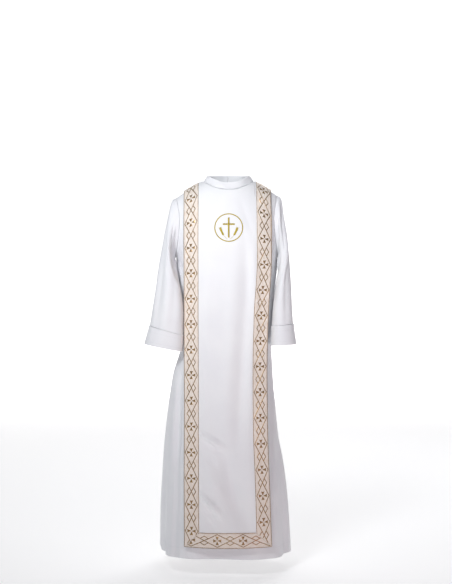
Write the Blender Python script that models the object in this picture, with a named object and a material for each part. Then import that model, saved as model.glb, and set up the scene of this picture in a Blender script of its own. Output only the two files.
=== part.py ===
# First communion robe in its worn, hollow shape.
# Metres, Z up, the wearer faces -Y. The origin is midway between the neck points
# of the two shoulder seams, which is where the robe hangs on its wearer.
# Left and right are as seen from the front.

import math

import bpy
import numpy as np

COLLECTION = "first_communion_robe"

# Cloth
ROBE_CLOTH = 0.0018
SLEEVE_CLOTH = 0.0018
PANEL_CLOTH = 0.0018
DOUBLED_CLOTH = 0.0028
GALLOON_CLOTH = 0.0010
EMBROIDERY = 0.0010
SEAM_GAP = 0.0003

# Heights
UNDERARM_Z = -0.225
HEM_Z = -1.098
PANEL_HEM_Z = -1.061

# Shoulders and neck
SHOULDER_HALF_LEFT = 0.156
SHOULDER_HALF_RIGHT = 0.146
CROWN_Z = 0.022
SHOULDER_FALL = 0.067
SHOULDER_POWER = 1.6
SHOULDER_REACH = 0.153
NECK_HALF = 0.0765
NECK_FRONT = 0.060
NECK_BACK = 0.050
SHOULDER_SPREAD = 0.139
ARMHOLE_SCOOP = 0.34
ARMHOLE_ROUND = 0.6
LINES_SPREAD = 0.56
LINES_POWER = 4

# Arc of a quarter section, as a share of its half width plus its depth
QUARTER_ARC = 0.78

# How sharply the long folds fade out at the side seams
SIDE_SEAM_POWER = 12

# Collar rim
RIM_HALF = 0.0625
RIM_FRONT = 0.051
RIM_BACK = 0.050
RIM_SIDE_Z = 0.0205
RIM_FRONT_DROP = 0.0245
RIM_BACK_RISE = 0.0040

# Roundness of a level section, and of the front and back over the shoulder
SECTION_ROUND = 2.3
OVER_FRONT_ROUND = 2.1
OVER_BACK_ROUND = 2.6

# Level sections of the robe below the underarm:
# height, left half width, right half width, depth in front, depth behind
SECTIONS = np.array([
    [-1.098, 0.201, 0.187, 0.166, 0.186],
    [-0.980, 0.200, 0.180, 0.154, 0.168],
    [-0.870, 0.196, 0.169, 0.142, 0.150],
    [-0.760, 0.189, 0.150, 0.132, 0.134],
    [-0.580, 0.167, 0.131, 0.116, 0.110],
    [-0.480, 0.142, 0.128, 0.107, 0.095],
    [-0.400, 0.143, 0.139, 0.103, 0.088],
    [-0.300, 0.149, 0.142, 0.101, 0.086],
    [-0.262, 0.154, 0.1455, 0.0995, 0.088],
    [-0.225, 0.156, 0.146, 0.098, 0.090],
])

# Long folds of the robe: place across the panel (-1 to 1) at the top and at the hem,
# half width, height at the hem (minus is a trough), height where the fold starts
FRONT_FOLDS = [
    (-0.02, -0.08, 0.055, -0.018, -0.66),
    (-0.84, -0.86, 0.026, -0.009, -0.52),
    (-0.60, -0.62, 0.034, 0.007, -0.60),
    (0.78, 0.74, 0.028, -0.010, -0.56),
    (0.60, 0.52, 0.034, 0.006, -0.70),
]
BACK_FOLDS = [
    (-0.80, -0.76, 0.042, 0.019, -0.50),
    (-0.48, -0.46, 0.042, -0.014, -0.60),
    (0.02, 0.00, 0.040, -0.006, -0.60),
    (0.44, 0.42, 0.040, -0.014, -0.60),
    (0.74, 0.70, 0.040, 0.014, -0.55),
]

# Hanging panel: height, left edge, right edge, clearance before the robe, edge set back
PANEL_TABLE = np.array([
    [-1.061, -0.1255, 0.1235, 0.014, 0.028],
    [-0.890, -0.1265, 0.1180, 0.010, 0.030],
    [-0.740, -0.1270, 0.1130, 0.007, 0.030],
    [-0.600, -0.1275, 0.1115, 0.005, 0.032],
    [-0.390, -0.1285, 0.1155, 0.004, 0.032],
    [-0.225, -0.1290, 0.1245, 0.004, 0.034],
    [0.000, -0.1300, 0.1240, 0.004, 0.034],
])
PANEL_OVER_ROBE = 0.0030
PANEL_EDGE_POWER = 2.2
PANEL_HALF = 0.127
PANEL_SETTLE = 0.6
PANEL_TOP_LEFT = -0.130
PANEL_NECK_CLEAR = 0.0015
PANEL_TOP_WIDTH = 0.254
GALLOON_WIDTH = 0.043

# Troughs of the front panel: x, height of the middle, half width, half length, depth
PANEL_TROUGHS = [
    (0.050, -0.310, 0.020, 0.110, 0.0040),
    (0.038, -0.600, 0.022, 0.150, 0.0040),
    (0.015, -0.930, 0.045, 0.090, 0.0060),
]

# Sleeves from armhole to cuff: place along, outer x, outer z, inner x, inner z,
# middle y, half depth, how far the inner edge hangs forward; x is measured away from
# the middle of the robe
LEFT_SLEEVE = np.array([
    [0.00, 0.1560, -0.0470, 0.1560, -0.2250, 0.0000, 0.054, 0.000],
    [0.05, 0.1680, -0.0560, 0.1635, -0.2300, -0.0030, 0.060, 0.000],
    [0.11, 0.1780, -0.0950, 0.1630, -0.2400, -0.0080, 0.061, 0.000],
    [0.18, 0.1860, -0.1400, 0.1580, -0.2540, -0.0190, 0.061, 0.000],
    [0.30, 0.1940, -0.1950, 0.1500, -0.2830, -0.0330, 0.058, 0.010],
    [0.44, 0.2030, -0.2480, 0.1400, -0.3180, -0.0490, 0.053, 0.018],
    [0.58, 0.2110, -0.3000, 0.1345, -0.3530, -0.0600, 0.049, 0.014],
    [0.72, 0.2180, -0.3480, 0.1320, -0.3890, -0.0660, 0.046, 0.010],
    [0.86, 0.2240, -0.3880, 0.1320, -0.4230, -0.0680, 0.044, 0.006],
    [1.00, 0.2300, -0.4270, 0.1320, -0.4550, -0.0680, 0.042, 0.004],
])
RIGHT_SLEEVE = np.array([
    [0.00, 0.1460, -0.0400, 0.1460, -0.2250, 0.0000, 0.054, 0.000],
    [0.05, 0.1570, -0.0490, 0.1525, -0.2300, -0.0030, 0.060, 0.000],
    [0.11, 0.1620, -0.0900, 0.1520, -0.2390, -0.0080, 0.062, 0.000],
    [0.18, 0.1690, -0.1340, 0.1500, -0.2490, -0.0170, 0.062, 0.000],
    [0.30, 0.1760, -0.1880, 0.1475, -0.2740, -0.0300, 0.060, 0.010],
    [0.44, 0.1800, -0.2440, 0.1390, -0.3080, -0.0450, 0.055, 0.016],
    [0.58, 0.1830, -0.3000, 0.1340, -0.3410, -0.0560, 0.052, 0.014],
    [0.72, 0.1850, -0.3480, 0.1300, -0.3730, -0.0630, 0.050, 0.010],
    [0.86, 0.1870, -0.3860, 0.1280, -0.4010, -0.0660, 0.049, 0.006],
    [1.00, 0.1890, -0.4220, 0.1265, -0.4275, -0.0670, 0.048, 0.004],
])
# Cuff end: outer x, outer z, inner x, inner z, middle y, half depth
LEFT_CUFF_END = (0.2460, -0.4810, 0.1345, -0.5030, -0.0700, 0.043, 0.004)
RIGHT_CUFF_END = (0.1980, -0.4810, 0.1240, -0.4850, -0.0700, 0.049, 0.004)
ARMHOLE_GAP = 0.0009
SLEEVE_BLEND = 0.34
SLEEVE_ROUND = 2.2
CUFF_STANDS_OUT = 0.0014

# Sleeve folds: place around (0 inner, 0.25 front, 0.5 outer), place along,
# half width around, half length along, height
LEFT_SLEEVE_FOLDS = [
    (0.27, 0.62, 0.045, 0.30, -0.0060),
    (0.15, 0.60, 0.050, 0.30, 0.0030),
    (0.40, 0.60, 0.050, 0.30, 0.0030),
    (0.75, 0.60, 0.060, 0.30, -0.0050),
]
RIGHT_SLEEVE_FOLDS = [
    (0.24, 0.60, 0.050, 0.30, -0.0050),
    (0.38, 0.50, 0.050, 0.30, 0.0030),
    (0.74, 0.60, 0.060, 0.30, -0.0050),
]

# Emblem on the chest
EMBLEM_X = 0.001
EMBLEM_Z = -0.141
EMBLEM_RADIUS = 0.0415
EMBLEM_LINE = 0.0030
CROSS_LINE = 0.0050
CROSS_TOP = 0.029
CROSS_FOOT = 0.029
CROSS_ARM = 0.017
CROSS_ARM_Z = 0.010

# Grid lines
NECK_STEPS = 6
SHOULDER_PLACES = (0.52, 0.64, 0.76, 0.88, 1.0)
YOKE_STEPS = 9
SKIRT_LEVELS = (-1.098, -1.040, -0.975, -0.905, -0.835, -0.765, -0.695, -0.625,
                -0.555, -0.485, -0.415, -0.350, -0.285)
PANEL_LEVELS = (-1.061, -1.0395, -1.018, -0.975, -0.905, -0.835, -0.765, -0.695,
                -0.625, -0.555, -0.485, -0.415, -0.350, -0.285)
SLEEVE_PLACES = (0.0, 0.07, 0.15, 0.23, 0.31, 0.40, 0.49, 0.58, 0.67, 0.78, 0.89, 1.0)
CUFF_PLACES = (0.0, 0.5, 1.0)
COLLAR_PLACES = (0.0, 0.33, 0.67, 1.0)
COLLAR_OPEN = 0.0006
PANEL_NECK_SHARES = (-1.0, -0.88, -0.66, -0.34, 0.0, 0.34, 0.66, 0.88, 1.0)
RING_STEPS = 40

TINY = 1e-9
STEP = 1e-4
EDGE = 4e-3

# Colours, roughness
MATERIALS = {
    "white_cloth": ((0.86, 0.86, 0.88, 1.0), 0.80),
    "panel_cloth": ((0.88, 0.88, 0.89, 1.0), 0.78),
    "galloon": ((0.78, 0.66, 0.45, 1.0), 0.60),
    "gold_thread": ((0.62, 0.47, 0.13, 1.0), 0.45),
}


def smooth_rows(table, key):
    """Row of a table at a key, with soft cubic joins between the given rows."""
    keys = table[:, 0]
    values = table[:, 1:]
    key = min(max(key, keys[0]), keys[-1])
    i = int(min(max(np.searchsorted(keys, key) - 1, 0), len(keys) - 2))
    slopes = np.diff(values, axis=0) / np.diff(keys)[:, None]

    def tangent(k):
        if k == 0:
            return slopes[0]
        if k == len(keys) - 1:
            return slopes[-1]
        before, after = slopes[k - 1], slopes[k]
        mean = (before + after) / 2
        return np.where(before * after <= 0, 0.0, mean)

    span = keys[i + 1] - keys[i]
    f = (key - keys[i]) / span
    h00 = 2 * f ** 3 - 3 * f ** 2 + 1
    h10 = f ** 3 - 2 * f ** 2 + f
    h01 = -2 * f ** 3 + 3 * f ** 2
    h11 = f ** 3 - f ** 2
    return (h00 * values[i] + h10 * span * tangent(i)
            + h01 * values[i + 1] + h11 * span * tangent(i + 1))


def ease(value, low, high):
    f = min(max((value - low) / (high - low), 0.0), 1.0)
    return f * f * (3 - 2 * f)


def bell(value, half_width):
    return math.exp(-(value / half_width) ** 2)


def across(s):
    """Share of the half width reached at place s, which runs from -1 to 1."""
    return math.copysign(abs(math.sin(math.pi / 2 * s)) ** (2 / SECTION_ROUND), s)


def across_place(share):
    share = min(max(share, -1.0), 1.0)
    place = math.asin(abs(share) ** (SECTION_ROUND / 2)) / (math.pi / 2)
    return math.copysign(place, share)


def depth_share(s):
    return max(math.cos(math.pi / 2 * s), 0.0) ** (2 / SECTION_ROUND)


def yoke_half(s, t):
    """Half width of the uncut chest and shoulder surface, wider toward the top."""
    half = SHOULDER_HALF_LEFT if s < 0 else SHOULDER_HALF_RIGHT
    return half * (1 + SHOULDER_SPREAD * ease(t, 0.0, 1.0))


def shoulder_line(x):
    return CROWN_Z - SHOULDER_FALL * (abs(x) / SHOULDER_REACH) ** SHOULDER_POWER


def fold_height(folds, s, z, arc):
    total = 0.0
    for top_place, hem_place, half_width, height, start in folds:
        grown = ease(-z, -start, -HEM_Z)
        place = top_place + (hem_place - top_place) * grown
        total += height * grown * bell((s - place) * arc, half_width)
    return total * (1 - abs(s) ** SIDE_SEAM_POWER)


def skirt_point(facing, folds, s, z):
    """Robe surface below the underarm; s is -1 at the left, facing is -1 in front."""
    left, right, front, back = smooth_rows(SECTIONS, z)
    half = left if s < 0 else right
    depth = front if facing < 0 else back
    x = half * across(s)
    y = facing * depth * depth_share(s)
    out = np.array([x / half ** 2, y / depth ** 2, 0.0])
    out /= max(np.linalg.norm(out), TINY)
    arc = QUARTER_ARC * (half + depth)
    return np.array([x, y, z]) + out * fold_height(folds, s, z, arc)


def yoke_point(facing, s, t):
    """Robe surface over chest and shoulder; t is 0 at the underarm and 1 at the seam."""
    depth = smooth_rows(SECTIONS, UNDERARM_Z)[2 if facing < 0 else 3]
    power = 2 / (OVER_FRONT_ROUND if facing < 0 else OVER_BACK_ROUND)
    x = yoke_half(s, t) * across(s)
    turn = math.pi / 2 * t
    y = facing * depth * depth_share(s) * max(math.cos(turn), 0.0) ** power
    rise = max(math.sin(turn), 0.0) ** power
    z = UNDERARM_Z + (shoulder_line(x) - UNDERARM_Z) * rise
    return np.array([x, y, z])


def neck_end(facing, x, clear=0.0):
    """How far up the yoke a line that ends at x runs before it meets the neck curve."""
    inside = 1 - (x / (NECK_HALF + clear)) ** 2
    if inside <= 0:
        return 1.0
    neck = ((NECK_FRONT if facing < 0 else NECK_BACK) + clear) * math.sqrt(inside)
    share = depth_share(across_place(x / yoke_half(x, 1.0)))
    depth = smooth_rows(SECTIONS, UNDERARM_Z)[2 if facing < 0 else 3] * share
    power = 2 / (OVER_FRONT_ROUND if facing < 0 else OVER_BACK_ROUND)
    return math.acos(min(neck / depth, 1.0) ** (1 / power)) / (math.pi / 2)


def armhole_edge(level):
    return 1 - ARMHOLE_SCOOP * math.sin(math.pi * min(level, 0.5)) ** ARMHOLE_ROUND


def robe_place(facing, c, level):
    """Place on the uncut surface of a grid line c at a level of the cut piece.

    A level below 0 is a depth under the underarm; 0 to 1 runs up the yoke.
    """
    spread = LINES_SPREAD * (1 - max(level, 0.0) ** LINES_POWER)
    s = c + spread * c * (1 - abs(c))
    if level < 0:
        return s, level
    x = yoke_half(c, 1.0) * across(c * armhole_edge(1.0))
    return s * armhole_edge(level), level * neck_end(facing, x)


def robe_surface(facing, folds, s, t):
    if t < 0:
        return skirt_point(facing, folds, s, UNDERARM_Z + t)
    return yoke_point(facing, s, t)


def neck_point(facing, share):
    """Point of the neck curve where x is the given share of the neck half width."""
    x = NECK_HALF * share
    return yoke_point(facing, across_place(x / yoke_half(x, 1.0)), neck_end(facing, x))


def surface_normal(surface, u, v, u_range, v_range):
    u = min(max(u, u_range[0] + EDGE), u_range[1] - EDGE)
    v = min(max(v, v_range[0] + EDGE), v_range[1] - EDGE)
    along_u = surface(u + STEP, v) - surface(u - STEP, v)
    along_v = surface(u, v + STEP) - surface(u, v - STEP)
    normal = np.cross(along_u, along_v)
    return normal / np.linalg.norm(normal)


def material(name):
    found = bpy.data.materials.get(name)
    if found:
        return found
    colour, roughness = MATERIALS[name]
    made = bpy.data.materials.new(name)
    made.use_nodes = True
    shader = made.node_tree.nodes["Principled BSDF"]
    shader.inputs["Base Color"].default_value = colour
    shader.inputs["Roughness"].default_value = roughness
    shader.inputs["Metallic"].default_value = 0.0
    return made


def add_shell(name, outer, inner, faces, slot):
    """Closed wall between an outer and an inner sheet that share their faces."""
    count = len(outer)
    solid = [tuple(face) for face in faces]
    solid += [tuple(i + count for i in reversed(face)) for face in faces]
    sides = set()
    for face in faces:
        sides.update(zip(face, face[1:] + face[:1]))
    for a, b in sorted(sides):
        if (b, a) not in sides:
            solid.append((b, a, a + count, b + count))
    mesh = bpy.data.meshes.new(name)
    mesh.from_pydata([tuple(p) for p in list(outer) + list(inner)], [], solid)
    mesh.update()
    mesh.materials.append(material(slot))
    bpy.data.collections[COLLECTION].objects.link(bpy.data.objects.new(name, mesh))


def split(a, b, c, d, mirrored):
    if mirrored:
        return [[a, b, d], [b, c, d]]
    return [[a, b, c], [a, c, d]]


def grid_faces(rows, columns, closed=False, flipped=False, mirror=None):
    """Triangles of a grid; from the column called mirror on, they lean the other way."""
    faces = []
    for r in range(rows - 1):
        for c in range(columns if closed else columns - 1):
            d = (c + 1) % columns
            a, b = r * columns + c, r * columns + d
            for face in split(a, b, b + columns, a + columns, mirror is not None and c >= mirror):
                faces.append(face[::-1] if flipped else face)
    return faces


def sheet(surface, places, u_range, v_range, thickness, lift, move=(0, 0, 0), sign=1):
    """Outer and inner points of a cloth sheet at the given places of a surface."""
    outer, inner = [], []
    for u, v in places:
        point = surface(u, v) + np.array(move)
        normal = sign * surface_normal(surface, u, v, u_range, v_range)
        outer.append(point + normal * (lift + thickness))
        inner.append(point + normal * lift)
    return outer, inner


def pairs(us, vs):
    return [(u, v) for v in vs for u in us]


def yoke_levels():
    return [(1 - math.cos(math.pi * k / YOKE_STEPS)) / 2 for k in range(YOKE_STEPS + 1)]


def half_places(side):
    """Grid lines of one half, from the middle to the side, as shares of its width."""
    places = []
    for k in range(NECK_STEPS + 1):
        x = NECK_HALF * math.sin(math.pi / 2 * k / NECK_STEPS)
        places.append(across_place(x / yoke_half(side, 1.0)) / armhole_edge(1.0))
    return places + list(SHOULDER_PLACES)


def build_robe():
    levels = [z - UNDERARM_Z for z in SKIRT_LEVELS] + yoke_levels()
    v_range = (levels[0], 1.0)
    half_gap = SEAM_GAP / 2

    def front(s, t):
        return robe_surface(-1, FRONT_FOLDS, s, t)

    def back(s, t):
        return robe_surface(1, BACK_FOLDS, -s, t)

    left = half_places(-1)
    right = half_places(1)
    places = [-p for p in reversed(left[1:])] + right
    spots = [robe_place(-1, c, level) for c, level in pairs(places, levels)]
    outer, inner = sheet(front, spots, (-1, 1), v_range, ROBE_CLOTH, -ROBE_CLOTH,
                         (0, -half_gap, 0))
    add_shell("robe_front", outer, inner, grid_faces(len(levels), len(places)),
              "white_cloth")

    # From behind, the right half runs from its side seam to the middle.
    halves = (("robe_back_right", [-p for p in reversed(right)], half_gap),
              ("robe_back_left", left, -half_gap))
    for name, places, aside in halves:
        spots = []
        for c, level in pairs(places, levels):
            s, t = robe_place(1, -c, level)
            spots.append((-s, t))
        outer, inner = sheet(back, spots, (-1, 1), v_range, ROBE_CLOTH, -ROBE_CLOTH,
                             (aside, half_gap, 0))
        add_shell(name, outer, inner, grid_faces(len(levels), len(places)), "white_cloth")


def sleeve_frame(row):
    ox, oz, ix, iz, y, depth = row[:6]
    outer = np.array([ox, y, oz])
    inside = np.array([ix, y, iz])
    return (outer + inside) / 2, (outer - inside) / 2, depth


def armhole_place(side, turn, first_row):
    """Share along the armhole's height, depth and set-in of a point of the armhole seam."""
    level = (1 - math.cos(turn)) / 2
    facing = -1 if turn <= math.pi else 1
    x, y, z = yoke_point(facing, side * armhole_edge(level), level)
    centre, half, _ = sleeve_frame(first_row)
    return (z - centre[2]) / half[2], y, side * x - centre[0]


def sleeve_ring(side, first_row, row, u, blend):
    """Point of a sleeve section; u is 0 at the inner side and a quarter in front."""
    turn = 2 * math.pi * (u % 1.0)
    share, seam_y, set_in = armhole_place(side, turn, first_row)
    centre, half, depth = sleeve_frame(row)
    round_y = depth * max(1 - abs(share) ** SLEEVE_ROUND, 0.0) ** (1 / SLEEVE_ROUND)
    if turn <= math.pi:
        round_y = -round_y
    outward = np.array([half[2], 0, -half[0]]) / np.linalg.norm(half)
    forward = row[6] * (1 - share) / 2
    across_ring = np.array([0, seam_y * (1 - blend) + (round_y - forward) * blend, 0])
    return centre + half * share + across_ring + outward * set_in * (1 - blend)


def sleeve_point(table, folds, side, u, v):
    row = smooth_rows(table, v)
    point = sleeve_ring(side, table[0, 1:], row, u, ease(v, 0.0, SLEEVE_BLEND))
    out = point - sleeve_frame(row)[0]
    out /= np.linalg.norm(out)
    for place, along, half_width, half_length, height in folds:
        apart = (u - place + 0.5) % 1.0 - 0.5
        point = point + out * height * bell(apart, half_width) * bell(v - along, half_length)
    return point * np.array([side, 1, 1])


def ring_places():
    front = [math.acos(1 - 2 * level) / (2 * math.pi) for level in yoke_levels()]
    return front + [1 - p for p in reversed(front[1:-1])]


def build_sleeve(word, side, table, folds, cuff_end):
    around = ring_places()
    away = side * ARMHOLE_GAP

    def tube(u, v):
        return sleeve_point(table, folds, side, u, v)

    def cuff(u, v):
        row = table[-1, 1:] * (1 - v) + np.array(cuff_end) * v
        return sleeve_ring(side, table[0, 1:], row, u, 1.0) * np.array([side, 1, 1])

    pieces = (("sleeve_", tube, SLEEVE_PLACES, SLEEVE_CLOTH, -SLEEVE_CLOTH, 0.0),
              ("cuff_", cuff, CUFF_PLACES, DOUBLED_CLOTH,
               CUFF_STANDS_OUT - DOUBLED_CLOTH, -2 * SEAM_GAP))
    for name, function, along, thickness, lift, drop in pieces:
        outer, inner = sheet(function, pairs(around, along), (-1, 2), (0, 1), thickness,
                             lift, (away, 0, drop), -side)
        faces = grid_faces(len(along), len(around), closed=True, flipped=side > 0)
        add_shell(name + word, outer, inner, faces, "white_cloth")


def collar_point(u, v):
    """Collar surface; u runs from the middle of the back round the left side."""
    turn = 2 * math.pi * u
    share, back = -math.sin(turn), math.cos(turn)
    base = neck_point(1 if back > 0 else -1, share)
    depth = RIM_BACK if back > 0 else RIM_FRONT
    z = RIM_SIDE_Z - RIM_FRONT_DROP * max(-back, 0) ** 2 + RIM_BACK_RISE * max(back, 0) ** 2
    rim = np.array([RIM_HALF * share, depth * back, z])
    return base * (1 - v) + rim * v


def build_collar():
    steps = 4 * NECK_STEPS
    around = [COLLAR_OPEN + (1 - 2 * COLLAR_OPEN) * k / steps for k in range(steps + 1)]
    outer, inner = sheet(collar_point, pairs(around, COLLAR_PLACES), (0, 1), (0, 1),
                         DOUBLED_CLOTH, -DOUBLED_CLOTH, (0, 0, 2 * SEAM_GAP))
    add_shell("collar", outer, inner, grid_faces(len(COLLAR_PLACES), len(around)),
              "white_cloth")


def panel_x(a, left, right):
    """x at distance a from the left edge of the panel as it is cut at the shoulder."""
    middle = (right - left - 2 * GALLOON_WIDTH) / (PANEL_TOP_WIDTH - 2 * GALLOON_WIDTH)
    if a <= GALLOON_WIDTH:
        return left + a
    if a >= PANEL_TOP_WIDTH - GALLOON_WIDTH:
        return right - (PANEL_TOP_WIDTH - a)
    return left + GALLOON_WIDTH + (a - GALLOON_WIDTH) * middle


def panel_flat(facing, x, z):
    """Depth of the hanging panel, before the folds."""
    depth = smooth_rows(SECTIONS, z)[2 if facing < 0 else 3]
    clear, set_back = smooth_rows(PANEL_TABLE, z)[2:4]
    return depth + clear - set_back * (abs(x) / PANEL_HALF) ** PANEL_EDGE_POWER


def panel_place(facing, a, level):
    """x on the panel, and depth under the underarm or place up the yoke."""
    z = UNDERARM_Z * (1 - level) if level > 0 else UNDERARM_Z + level
    left, right = smooth_rows(PANEL_TABLE, z)[0:2]
    x = panel_x(a, left, right)
    if level < 0:
        return x, level
    return x, level * neck_end(facing, x, PANEL_NECK_CLEAR)


def panel_surface(facing, x, t):
    if t < 0:
        z = UNDERARM_Z + t
        point = np.array([x, facing * panel_flat(facing, x, z), z])
    else:
        s = across_place(x / yoke_half(x, t))
        point = yoke_point(facing, s, t)
        extra = panel_flat(facing, x, UNDERARM_Z) - abs(yoke_point(facing, s, 0.0)[1])
        point[1] += facing * extra * (1 - ease(t, 0.0, PANEL_SETTLE))
    if facing < 0:
        for middle_x, middle_z, half_width, half_length, depth in PANEL_TROUGHS:
            point[1] += (depth * bell(x - middle_x, half_width)
                         * bell(point[2] - middle_z, half_length))
    return point


def panel_places():
    edge = [0.0, GALLOON_WIDTH / 2, GALLOON_WIDTH]
    neck = [-PANEL_TOP_LEFT + (NECK_HALF + PANEL_NECK_CLEAR) * share
            for share in PANEL_NECK_SHARES]
    return edge + neck + [PANEL_TOP_WIDTH - a for a in reversed(edge)]


def corner_faces(rows, width):
    """Faces of a band whose two ends are cut on the slant, widest row first."""
    faces, starts, start = [], [], 0
    for r in range(rows):
        starts.append(start)
        start += width - 2 * r
    for r in range(rows - 1):
        low, high, count = starts[r], starts[r + 1], width - 2 * r - 2
        faces.append([low, low + 1, high])
        for c in range(count - 1):
            a, d = low + 1 + c, high + c
            faces += split(a, a + 1, d + 1, d, r + 1 + c >= width // 2)
        faces.append([low + count, low + count + 1, high + count - 1])
    return faces


def build_panel(word, facing):
    levels = [z - UNDERARM_Z for z in PANEL_LEVELS] + yoke_levels()
    ranges = ((-SHOULDER_HALF_LEFT, SHOULDER_HALF_RIGHT), (levels[0], 1.0))
    half_gap = facing * SEAM_GAP / 2
    over = PANEL_OVER_ROBE + PANEL_CLOTH + SEAM_GAP
    places = panel_places()

    def surface(x, t):
        return panel_surface(facing, x, t)

    def lay(name, spots, faces, thickness, lift, slot):
        spots = [panel_place(facing, a, level) for a, level in spots]
        outer, inner = sheet(surface, spots, *ranges, thickness, lift, (0, half_gap, 0),
                             -facing)
        if facing > 0:
            faces = [face[::-1] for face in faces]
        add_shell(name, outer, inner, faces, slot)

    faces = grid_faces(len(levels), len(places), mirror=len(places) // 2)
    lay("scapular_" + word, pairs(places, levels), faces, PANEL_CLOTH, PANEL_OVER_ROBE,
        "panel_cloth")

    # Side galloons: the corner square is cut on the slant against the hem galloon.
    sides = (("_left", lambda a: a, False), ("_right", lambda a: PANEL_TOP_WIDTH - a, True))
    w = GALLOON_WIDTH
    for side, place, flipped in sides:
        corner = [(0, levels[0] + SEAM_GAP), (0, levels[1]), (w / 2, levels[1] + SEAM_GAP)]
        long_part = pairs((0, w / 2), levels[2:3]) + [(w, levels[2] + SEAM_GAP)]
        long_part += pairs((0, w / 2, w), levels[3:])
        faces = [[0, 2, 1], [1, 2, 4], [1, 4, 3], [2, 5, 4]]
        faces += [[i + 3 for i in face] for face in grid_faces(len(levels) - 2, 3)]
        if flipped:
            faces = [face[::-1] for face in faces]
        spots = [(place(a), level) for a, level in corner + long_part]
        lay("galloon_" + word + side, spots, faces, GALLOON_CLOTH, over, "galloon")

    spots = []
    for r in range(3):
        row = places[r:len(places) - r]
        row[0] += SEAM_GAP
        row[-1] -= SEAM_GAP
        spots += [(a, levels[r]) for a in row]
    lay("galloon_" + word + "_hem", spots, corner_faces(3, len(places)), GALLOON_CLOTH,
        over, "galloon")


def chest_place(x, z):
    """Place on the front panel that shows at x and z on the chest."""
    rise = (z - UNDERARM_Z) / (shoulder_line(x) - UNDERARM_Z)
    return x, math.asin(rise ** (OVER_FRONT_ROUND / 2)) / (math.pi / 2)


def build_emblem():
    over = PANEL_OVER_ROBE + PANEL_CLOTH + 2 * SEAM_GAP

    def surface(x, t):
        return panel_surface(-1, x, t)

    def lay(name, spots, faces):
        spots = [chest_place(EMBLEM_X + x, EMBLEM_Z + z) for x, z in spots]
        outer, inner = sheet(surface, spots, (-1, 1), (0, 1), EMBROIDERY, over)
        add_shell(name, outer, inner, faces, "gold_thread")

    spots = []
    for radius in (EMBLEM_RADIUS, EMBLEM_RADIUS - EMBLEM_LINE):
        for k in range(RING_STEPS):
            turn = 2 * math.pi * k / RING_STEPS
            spots.append((radius * math.cos(turn), radius * math.sin(turn)))
    lay("emblem_ring", spots, grid_faces(2, RING_STEPS, closed=True))

    half = CROSS_LINE / 2
    xs = (-CROSS_ARM, -half, half, CROSS_ARM)
    zs = (-CROSS_FOOT, -CROSS_FOOT / 3, CROSS_ARM_Z - half, CROSS_ARM_Z + half, CROSS_TOP)
    cells = ((1, 0), (1, 1), (0, 2), (1, 2), (2, 2), (1, 3))
    corners = sorted({(i + k, j + m) for i, j in cells for k in (0, 1) for m in (0, 1)})
    faces = [[corners.index(p) for p in ((i, j), (i + 1, j), (i + 1, j + 1), (i, j + 1))]
             for i, j in cells]
    lay("emblem_cross", [(xs[i], zs[j]) for i, j in corners], faces)


def main():
    for old in list(bpy.data.objects):
        bpy.data.objects.remove(old)
    made = bpy.data.collections.new(COLLECTION)
    bpy.context.scene.collection.children.link(made)
    build_robe()
    build_sleeve("left", -1, LEFT_SLEEVE, LEFT_SLEEVE_FOLDS, LEFT_CUFF_END)
    build_sleeve("right", 1, RIGHT_SLEEVE, RIGHT_SLEEVE_FOLDS, RIGHT_CUFF_END)
    build_collar()
    build_panel("front", -1)
    build_panel("back", 1)
    build_emblem()


main()
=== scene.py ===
# First communion robe: the looks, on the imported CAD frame.
# Metres, Z up, the front faces -Y. Left and right are as seen from the front.

import math

import bpy
import numpy as np
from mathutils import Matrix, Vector


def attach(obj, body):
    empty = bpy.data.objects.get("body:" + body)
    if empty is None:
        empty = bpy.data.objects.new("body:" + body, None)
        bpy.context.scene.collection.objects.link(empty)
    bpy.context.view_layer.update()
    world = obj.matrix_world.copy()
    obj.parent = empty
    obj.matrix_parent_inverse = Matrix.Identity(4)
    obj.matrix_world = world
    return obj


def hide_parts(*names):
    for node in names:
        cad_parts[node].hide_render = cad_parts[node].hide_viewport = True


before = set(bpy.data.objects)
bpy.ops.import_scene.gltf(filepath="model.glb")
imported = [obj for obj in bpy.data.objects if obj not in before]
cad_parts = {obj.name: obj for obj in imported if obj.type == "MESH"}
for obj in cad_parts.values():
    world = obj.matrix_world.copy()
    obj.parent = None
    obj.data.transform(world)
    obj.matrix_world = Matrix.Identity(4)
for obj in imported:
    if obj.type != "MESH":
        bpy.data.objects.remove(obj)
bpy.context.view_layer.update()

# Camera, from the photograph's frame of 452 x 584
CAMERA_PLACE = (-0.007, -3.6, -0.3285)
FOCAL_PX = 1200.0
FRAME_HEIGHT_PX = 584
SENSOR_MM = 36.0
FLOOR_Z = -1.150
BACKDROP_Y = 6.5
BACKDROP_TOP = 6.0
FLOOR_BEND = 1.5
STAGE_HALF = 9.0
STAGE_COLOUR = (0.88, 0.865, 0.86)
FLOOR_GLOW = 0.44
BACKDROP_GLOW = 0.85
WORLD_COLOUR = (0.90, 0.95, 1.05, 1.0)
WORLD_STRENGTH = 0.18

# Lights: name, place, aim, size, watts, colour, spread
LIGHTS = [
    ("key", (-0.60, -1.7, 0.60), (0.0, 0.0, -0.06), 0.5, 4.5, (0.95, 0.98, 1.0), 1.28),
    ("front", (0.3, -3.3, -0.2), (0.04, 0.0, -0.22), 0.6, 1.1, (0.98, 0.98, 1.0), 1.0),
    ("low", (1.1, -2.2, -1.0), (0.05, 0.0, -0.90), 1.0, 1.0, (1.0, 0.06, 0.14), 1.6),
    ("back", (1.0, 2.4, 1.2), (0.0, 0.0, -0.4), 1.4, 16.0, (0.97, 0.98, 1.0), math.pi),
]

# Cloth
ROBE_CLOTH = 0.0014
DOUBLED_CLOTH = 0.0028
GALLOON_CLOTH = 0.0007
SEAM_GAP = 0.0002

# Heights
UNDERARM_Z = -0.225
HEM_Z = -1.098
PANEL_HEM_Z = -1.061

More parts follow.
